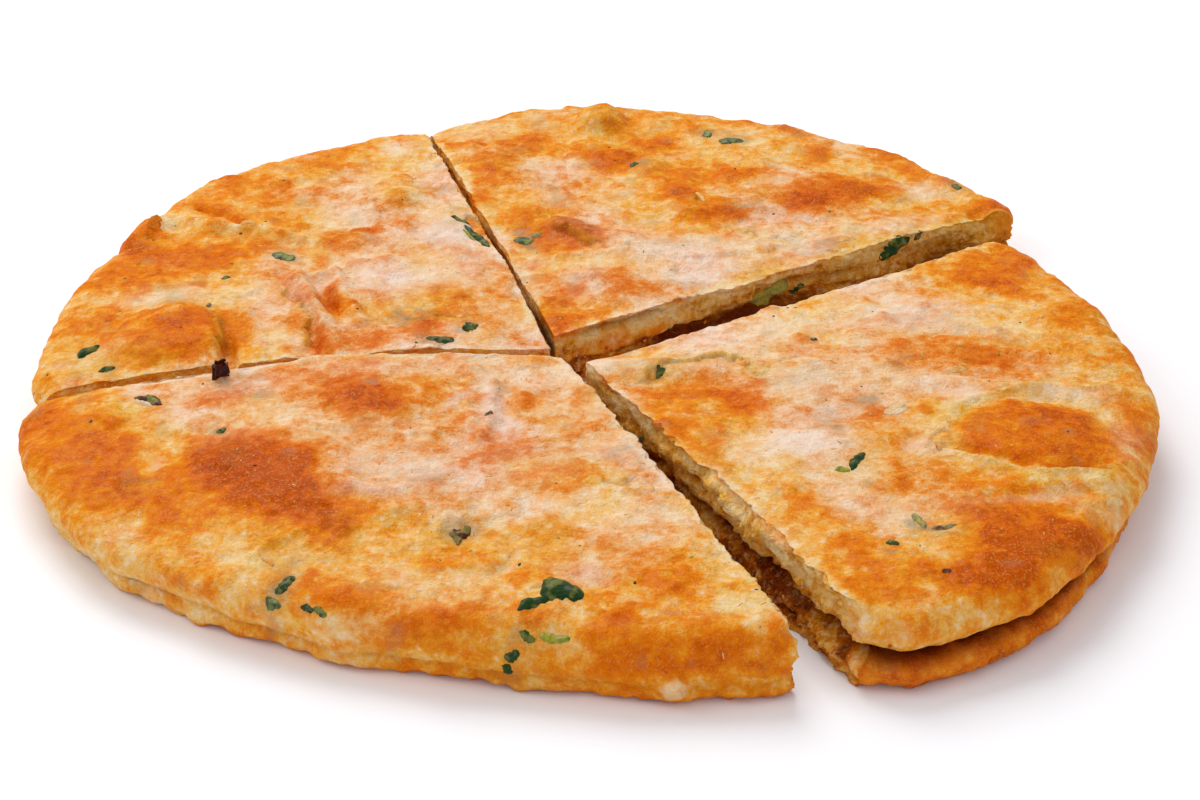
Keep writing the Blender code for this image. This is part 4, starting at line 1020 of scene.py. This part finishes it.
LEAVES = {
    "slice_front_left": (
        Blade(-4.3, -75.4, 6.2, 5.6, 15, 0.06, stands=0.9),
        Blade(-8.3, -78.4, 5.2, 2.2, 34, 0.10, stands=0.5),
        Blade(-44, -71.6, 3.8, 1.8, 75, 0.27, 10, (-122, 55)),
        Blade(-45.8, -74.4, 3.0, 1.7, -15, 0.33, 9, (-122, 55)),
        Blade(-40.3, -75.8, 2.2, 1.1, 0, 0.24, 8.5, (-118, 50)),
        Blade(-38.2, -76.3, 2.4, 1.1, -10, 0.30, 8, (-118, 50)),
        Blade(-69.5, -22.8, 6.4, 1.9, -42, 0.95), Blade(-68.9, -22.9, 3.8, 1.0, -42, 0.44, stands=0.6),
        Blade(-11.2, -85.6, 2.4, 1.6, 20, 0.22, 6.8, (-94, 20)),
        Blade(-11.9, -86, 1.8, 1.6, 60, 0.10, 4.6, (-94, 15)),
        Blade(-19.2, -59.4, 3.4, 2.0, 30, 0.92), Blade(-19.6, -60.6, 1.4, 2.2, 0, 0.86),
        Blade(-9, -83.4, 2.6, 1.3, -25, 0.12, 9, (-94, 45)),
        Blade(-5.2, -83.4, 4.6, 1.3, -6, 0.57, 8.6, (-94, 45)),
        Blade(-57, -33, 1.6, 0.9, 20, 0.3), Blade(-16, -29, 1.5, 0.8, 30, 0.8)),
    "slice_back_left": (
        Blade(-82.3, -2.6, 4.6, 2.0, 55, 0.04, stands=0.5), Blade(-78.3, -8.8, 2.8, 1.6, 10, 0.08),
        Blade(-53, 28, 4.8, 2.6, -50, 0.38), Blade(-23.4, 42.0, 4.6, 0.9, -42, 0.16),
        Blade(-20.1, 36.0, 9.5, 1.5, -60, 0.08),
        Blade(-21.6, 36.8, 4.4, 0.7, -58, 0.56), Blade(-20.2, 3, 3.0, 2.2, 30, 0.16),
        Blade(-24.8, -2, 4.6, 2.4, 8, 0.26),
        Blade(-62, 20, 1.4, 0.9, 0, 0.4), Blade(-64, 11, 1.2, 0.8, 40, 0.7)),
    "slice_back_right": (
        Blade(25.4, 76, 5, 3.4, 50, 0.30), Blade(21.2, 80, 1.8, 3.4, 0, 0.40),
        Blade(-12, 34.6, 3.2, 2.8, -60, 0.32),
        Blade(-9.8, 36, 2.0, 1.6, 30, 0.68), Blade(7.4, 64.8, 1.4, 1.6, 30, 0.26),
        Blade(65.6, 58.2, 2.2, 1.3, -40, 0.34),
        Blade(51.8, 36.6, 7.5, 2.6, 14, 0.02, 9.0, (-60, 10), 2.2),
        Blade(56.4, 39.4, 2.4, 1.0, 30, 0.97, 9.6, (-60, 20), 2.0),
        Blade(31, 22.8, 8, 3.4, 12, 0.60, 6.6, (-60, 10), 1.6),
        Blade(36.2, 25.2, 2.6, 1.7, 25, 0.08, 6.0, (-60, 10), 2.2)),
    "slice_front_right": (
        Blade(40.0, -42.4, 5.4, 1.5, 68, 0.10), Blade(37.6, -44.9, 2.4, 1.4, 10, 0.57),
        Blade(47.9, -58.8, 4.4, 1.3, -75, 0.70), Blade(51.4, -60.8, 3.8, 1.1, 8, 0.74),
        Blade(43.4, -65.5, 2.0, 1.2, 0, 0.22),
        Blade(49.8, -70.8, 1.3, 0.9, 0, 0.90, 10, (-60, 60)), Blade(10.8, -14.4, 2.2, 1.2, 45, 0.16),
        Blade(7.6, -26.8, 2.0, 1.3, 60, 0.20, 7.5, (-151.3, 15)), Blade(36, -3, 1.2, 1.0, 0, 0.3)),
}


def float_layer(bm, name):
    """The layer of values that a mesh's points hold under a name, made if it isn't there yet."""
    return bm.verts.layers.float.get(name) or bm.verts.layers.float.new(name)


def press_blade(bm, crust, blade, seed):
    """Adds a blade to the mesh, set in the crust where lines cast along its facing meet it."""
    rng = np.random.default_rng(seed)
    round_way, up_way = (math.radians(angle) for angle in blade.facing)
    outward = Vector((math.cos(up_way) * math.cos(round_way), math.cos(up_way) * math.sin(round_way),
                      math.sin(up_way)))
    right = Vector((-math.sin(round_way), math.cos(round_way), 0))
    above = outward.cross(right)
    centre = Vector((blade.x - MIDDLE[0], blade.y - MIDDLE[1], blade.z)) * MM
    cos, sin = math.cos(math.radians(blade.pointing)), math.sin(math.radians(blade.pointing))
    along_layer, aside_layer, shade_layer = (float_layer(bm, name) for name in ("along", "aside", "shade"))
    bends = rng.uniform(0, 2 * math.pi, 4)
    grid = bmesh.ops.create_grid(bm, x_segments=BLADE_CELLS[0], y_segments=BLADE_CELLS[1], size=0.5)["verts"]
    faces = list({face for vertex in grid for face in vertex.link_faces})
    for vertex in grid:
        along, aside = vertex.co.x, vertex.co.y
        ragged = BLADE_RAGGED * (math.sin(9 * along + bends[0]) + math.sin(21 * along + bends[1]))
        taper = 1 - BLADE_TAPER * (2 * along) ** 2 + ragged
        sideways = (aside * taper + 0.12 * math.sin(5 * along + bends[2])) * blade.width
        lengthwise = along * (1 - 0.18 * (2 * aside) ** 2) * blade.length
        place = centre + (right * (lengthwise * cos - sideways * sin)
                          + above * (lengthwise * sin + sideways * cos)) * MM
        hit = crust.ray_cast(place + outward * BLADE_CAST * MM, -outward)[0]
        if hit is None:
            raise ValueError(f"{blade} reaches past its quarter")
        vertex.co = hit - outward * blade.sunk * MM
        vertex[along_layer], vertex[aside_layer] = along * blade.length, aside
        vertex[shade_layer] = blade.shade
    raised = bmesh.ops.extrude_face_region(bm, geom=faces, use_keep_orig=True)["geom"]
    for vertex in (v for v in raised if isinstance(v, bmesh.types.BMVert)):
        along, aside = vertex[along_layer] / blade.length, vertex[aside_layer]
        dome = (1 - (2 * aside) ** 2) * (1 - (2 * along) ** 4)
        wave = BLADE_WAVE * math.sin(11 * along + bends[3]) * math.cos(6 * aside + bends[0])
        lift = (blade.sunk + 0.06 + dome * (blade.stands + min(1, 3 * blade.stands) * wave)
                + blade.curl * (0.5 + aside) ** 2)
        vertex.co += outward * lift * MM


def blades_piece(name, kinds, material, seed):
    """One piece from all the blades of a kind, quarter by quarter."""
    bm = bmesh.new()
    for quarter_name, blades in kinds.items():
        for k, blade in enumerate(blades):
            press_blade(bm, crusts[quarter_name], blade, seed + k)
    bmesh.ops.recalc_face_normals(bm, faces=bm.faces)
    bmesh.ops.triangulate(bm, faces=bm.faces)
    return new_piece(name, bm, material)


# Fried scallion leaf: dark wet green with fine veins along it, going yellow-green, then grey-brown.
scallion, tree = new_material("fried_scallion")
place = node(tree, "TexCoord").outputs["Object"]
shade = node(tree, "Attribute", attribute_name="shade").outputs["Fac"]
aside = node(tree, "Attribute", attribute_name="aside").outputs["Fac"]
cells = node(tree, "TexNoise", {"Scale": 1 / (0.9 * MM), "Detail": 3.0}, {"Vector": place}).outputs["Fac"]
patches = node(tree, "TexNoise", {"Scale": 1 / (2.0 * MM), "Detail": 3.0}, {"Vector": place}).outputs["Fac"]
veins = node(tree, "Math", {1: 60.0}, {0: aside}, operation="MULTIPLY").outputs["Value"]
veins = node(tree, "Math", links={0: veins}, operation="SINE").outputs["Value"]
leaf_tone = total(tree, shade, between(tree, cells, 0.35, 0.65, -0.12, 0.16))
leaf_green = toned(tree, leaf_tone, (0.0, "0A3410"), (0.14, "143A10"), (0.26, "36401C"),
                   (0.38, "5E6448"), (0.48, "6C8030"), (0.6, "ACA028"), (0.74, "8A7C62"),
                   (0.88, "6A4228"), (1.0, "441608"))
leaf_colour = mixed(tree, between(tree, veins, 0.2, 1.0, 0.0, 0.05), leaf_green, "A8A860")
leaf_colour = mixed(tree, between(tree, patches, 0.5, 0.62, 0.0, 0.5), leaf_colour, "8C8A3C")
leaf_sheen = between(tree, cells, 0.3, 0.7, 0.3, 0.5)
cell_bump = node(tree, "Bump", {"Strength": 0.35, "Distance": 0.1 * MM}, {"Height": cells})
set_surface(tree, {"Specular IOR Level": 0.08, "Coat Weight": 0.12, "Coat Roughness": 0.1},
            {"Base Color": leaf_colour, "Roughness": leaf_sheen, "Normal": cell_bump.outputs["Normal"]})

scallion_leaves = blades_piece("scallion_leaves", LEAVES, scallion, 300)
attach(scallion_leaves, "root")

# The burnt curl. A strip of leaf that dried and charred in the pan, rolled up on itself and standing on
# the front left crust.
CURL_PLACE = (-58.6, -17.4)
CURL_AXIS = 20.0
CURL_WIDTH = 2.8
CURL_RADIUS = 1.15
CURL_THICK = 0.4
CURL_HEIGHT = 0.8
CURL_CLIMB = 1.9
CURL_START = -100.0
CURL_ROLL = 560.0
CURL_TIGHTENS = 0.6
CURL_NARROWS = 0.45
CURL_CELLS = (44, 10)

# Charred leaf: purple-black, brittle and a little glossy, rust-brown in patches.
charred_leaf, tree = new_material("charred_leaf")
place = node(tree, "TexCoord").outputs["Object"]
char = node(tree, "TexNoise", {"Scale": 1 / (0.8 * MM), "Detail": 4.0}, {"Vector": place}).outputs["Fac"]
char_colour = toned(tree, char, (0.35, "24080A"), (0.55, "42120E"), (0.7, "8A3A14"))
char_sheen = between(tree, char, 0.3, 0.7, 0.3, 0.55)
char_bump = node(tree, "Bump", {"Strength": 0.6, "Distance": 0.15 * MM}, {"Height": char})
set_surface(tree, {"Specular IOR Level": 0.1, "Coat Weight": 0.15, "Coat Roughness": 0.2},
            {"Base Color": char_colour, "Roughness": char_sheen, "Normal": char_bump.outputs["Normal"]})

bm = bmesh.new()
bmesh.ops.create_grid(bm, x_segments=CURL_CELLS[0], y_segments=CURL_CELLS[1], size=0.5)
raised = bmesh.ops.extrude_face_region(bm, geom=list(bm.faces), use_keep_orig=True)["geom"]
outside = {v for v in raised if isinstance(v, bmesh.types.BMVert)}
foot = Vector((CURL_PLACE[0] - MIDDLE[0], CURL_PLACE[1] - MIDDLE[1], 0)) * MM
floor = crusts["slice_front_left"].ray_cast(foot + Vector((0, 0, 1)), Vector((0, 0, -1)))[0].z / MM
turn = math.radians(CURL_AXIS)
axis, across = Vector((math.cos(turn), math.sin(turn), 0)), Vector((-math.sin(turn), math.cos(turn), 0))
for vertex in bm.verts:
    share = vertex.co.x + 0.5
    roll = math.radians(CURL_START + share * CURL_ROLL)
    wave = 0.12 * math.sin(13 * share + 7 * vertex.co.y)
    radius = CURL_RADIUS * (1 - CURL_TIGHTENS * share) + wave + (CURL_THICK if vertex in outside else 0)
    ragged = 1 + 0.08 * math.sin(27 * share)
    sideways = vertex.co.y * CURL_WIDTH * (1 - CURL_NARROWS * share) * ragged
    high = floor + CURL_HEIGHT + CURL_CLIMB * share + radius * math.sin(roll)
    vertex.co = foot + (axis * sideways + across * radius * math.cos(roll) + Vector((0, 0, high))) * MM
bmesh.ops.recalc_face_normals(bm, faces=bm.faces)
burnt_curl = new_piece("burnt_curl", bm, charred_leaf)
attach(burnt_curl, "root")

# The torn skins. Flakes of the top skin that lifted in the pan and curl up at one edge, pale or orange.
FLAKES = {
    "slice_front_left": (
        Blade(-47, -65.5, 4.2, 0.9, -25, 0.50, 10, (-122, 65), stands=0.1, curl=0.3),
        Blade(-70.2, -23.7, 4.4, 0.5, -40, 0.0, stands=0.5)),
    "slice_back_left": (Blade(-77, 42, 4, 2, 60, 0.85, stands=0.1, curl=0.6),
                        Blade(-60, 38, 3, 0.9, -20, 0.5, stands=0.1, curl=0.3)),
    "slice_back_right": (
        Blade(19, 50, 4.0, 0.7, -70, 0.35, stands=0.1, curl=0.3),
        Blade(44, 35, 4, 0.9, 25, 0.4, stands=0.1, curl=0.3)),
    "slice_front_right": (
        Blade(47.2, -27.2, 4.4, 1.6, 25, 0.18, stands=0.1, curl=0.6),
        Blade(24, -11.5, 3.4, 1.4, -60, 0.5, stands=0.1, curl=0.5),
        Blade(58, -14, 4, 1.0, 30, 0.4, stands=0.1, curl=0.4),
        Blade(78, -50, 4, 0.8, 40, 0.35, stands=0.1, curl=0.4),
        Blade(53, -38.5, 2.4, 1.4, 60, 0.5, stands=0.1, curl=0.4)),
}

# Dry fried skin: the dough's own grain and sheen, in one tone for each flake, from cream to orange.
flake_skin = fried_dough.copy()
flake_skin.name = "fried_skin"
tree = flake_skin.node_tree
flake_shade = node(tree, "Attribute", attribute_name="shade").outputs["Fac"]
flake_grain = next(n for n in tree.nodes if n.type == "TEX_NOISE").outputs["Fac"]
flake_tone = total(tree, flake_shade, between(tree, flake_grain, 0.3, 0.7, -0.15, 0.15))
tree.links.new(toned(tree, flake_tone, (0.0, "F3DEBE"), (0.35, "EBBC78"), (0.7, "E08A28"), (1.0, "C05A0C")),
               tree.nodes["Principled BSDF"].inputs["Base Color"])
torn_skins = blades_piece("torn_skins", FLAKES, flake_skin, 400)
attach(torn_skins, "root")

# The crumbs. Flecks of flour and dry skin on the crust, and crumbs along the cuts, each stuck fast.
# Numbers are for each quarter, and for each of its cuts for the crumbs; a reach is from the tip.
FLECKS = 160
FLECK_LENGTHS = (0.3, 1.3)
FLECK_REACH = 85
SPECKS = 16
SPECK_LENGTHS = (0.3, 0.9)
SPECK_REACH = 82
CRUMBS = 90
CRUMB_RADII = (0.15, 0.45)
CRUMB_REACH = (3, 86)
CRUMB_HEIGHTS = (1.0, 9.0)


def stuck_bit(bm, hit, normal, size, rng, shade):
    """Adds a small lump of a few faces, flat on the surface and partly set in."""
    layer = float_layer(bm, "shade")
    lean = normal.to_track_quat("Z", "Y").to_matrix().to_4x4()
    spin = Matrix.Rotation(rng.uniform(0, 2 * math.pi), 4, "Z")
    stretch = Matrix.Diagonal((size[0] * MM, size[1] * MM, size[2] * MM, 1))
    lump = bmesh.ops.create_icosphere(bm, subdivisions=1, radius=1,
                                      matrix=Matrix.Translation(hit) @ lean @ spin @ stretch)["verts"]
    for vertex in lump:
        vertex.co += Vector(rng.uniform(-0.2, 0.2, 3)) * min(size) * MM
        vertex[layer] = shade


def drop(crust, quarter, way, far):
    """Where a line straight down meets the crust, far from the quarter's tip the given way."""
    spot = Vector((quarter.tip[0] - MIDDLE[0] + far * math.cos(way),
                   quarter.tip[1] - MIDDLE[1] + far * math.sin(way), 40)) * MM
    return crust.ray_cast(spot, Vector((0, 0, -1)))[:2]


flecks, crumbs, leaf_specks = bmesh.new(), bmesh.new(), bmesh.new()
for quarter in QUARTERS:
    rng = np.random.default_rng(quarter.seed + 500)
    crust = crusts[quarter.name]
    first, second = np.radians(quarter.cuts)
    for _ in range(FLECKS):
        way, far = rng.uniform(first, second), FLECK_REACH * math.sqrt(rng.uniform(0.002, 1))
        hit, normal = drop(crust, quarter, way, far)
        if hit is not None and hit.z > MM:
            length = rng.uniform(*FLECK_LENGTHS) ** 1.5
            stuck_bit(flecks, hit, normal, (length / 2, 0.13, 0.05), rng, rng.uniform(0.3, 0.65))
    for _ in range(SPECKS):
        way, far = rng.uniform(first, second), SPECK_REACH * math.sqrt(rng.uniform(0.01, 1))
        hit, normal = drop(crust, quarter, way, far)
        if hit is not None and hit.z > MM:
            length = rng.uniform(*SPECK_LENGTHS)
            shade = rng.choice((0.3, 0.6, 0.9))
            stuck_bit(leaf_specks, hit, normal, (length / 2, length / 3, 0.12), rng, shade)
    for side, (cut, outward) in enumerate(((first, -1), (second, 1))):
        away = Vector((-math.sin(cut), math.cos(cut), 0)) * outward
        for _ in range(CRUMBS):
            far, high = rng.uniform(*CRUMB_REACH), rng.uniform(*CRUMB_HEIGHTS)
            spot = Vector((quarter.tip[0] - MIDDLE[0] + far * math.cos(cut),
                           quarter.tip[1] - MIDDLE[1] + far * math.sin(cut), high)) * MM
            hit, normal = crust.ray_cast(spot + away * 15 * MM, -away, 30 * MM)[:2]
            if hit is not None and abs(normal.z) < 0.7:
                size = rng.uniform(*CRUMB_RADII)
                stuck_bit(crumbs, hit, normal, (size, size * 0.7, size * 0.5), rng, rng.uniform(0.5, 0.95))
for name, bm, material, slot in (("flour_flecks", flecks, flake_skin, "fried_dough"),
                                 ("cut_crumbs", crumbs, flake_skin, "fried_dough"),
                                 ("scallion_specks", leaf_specks, scallion, "onion_leaf")):
    piece = new_piece(name, bm, material)
    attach(piece, "root")
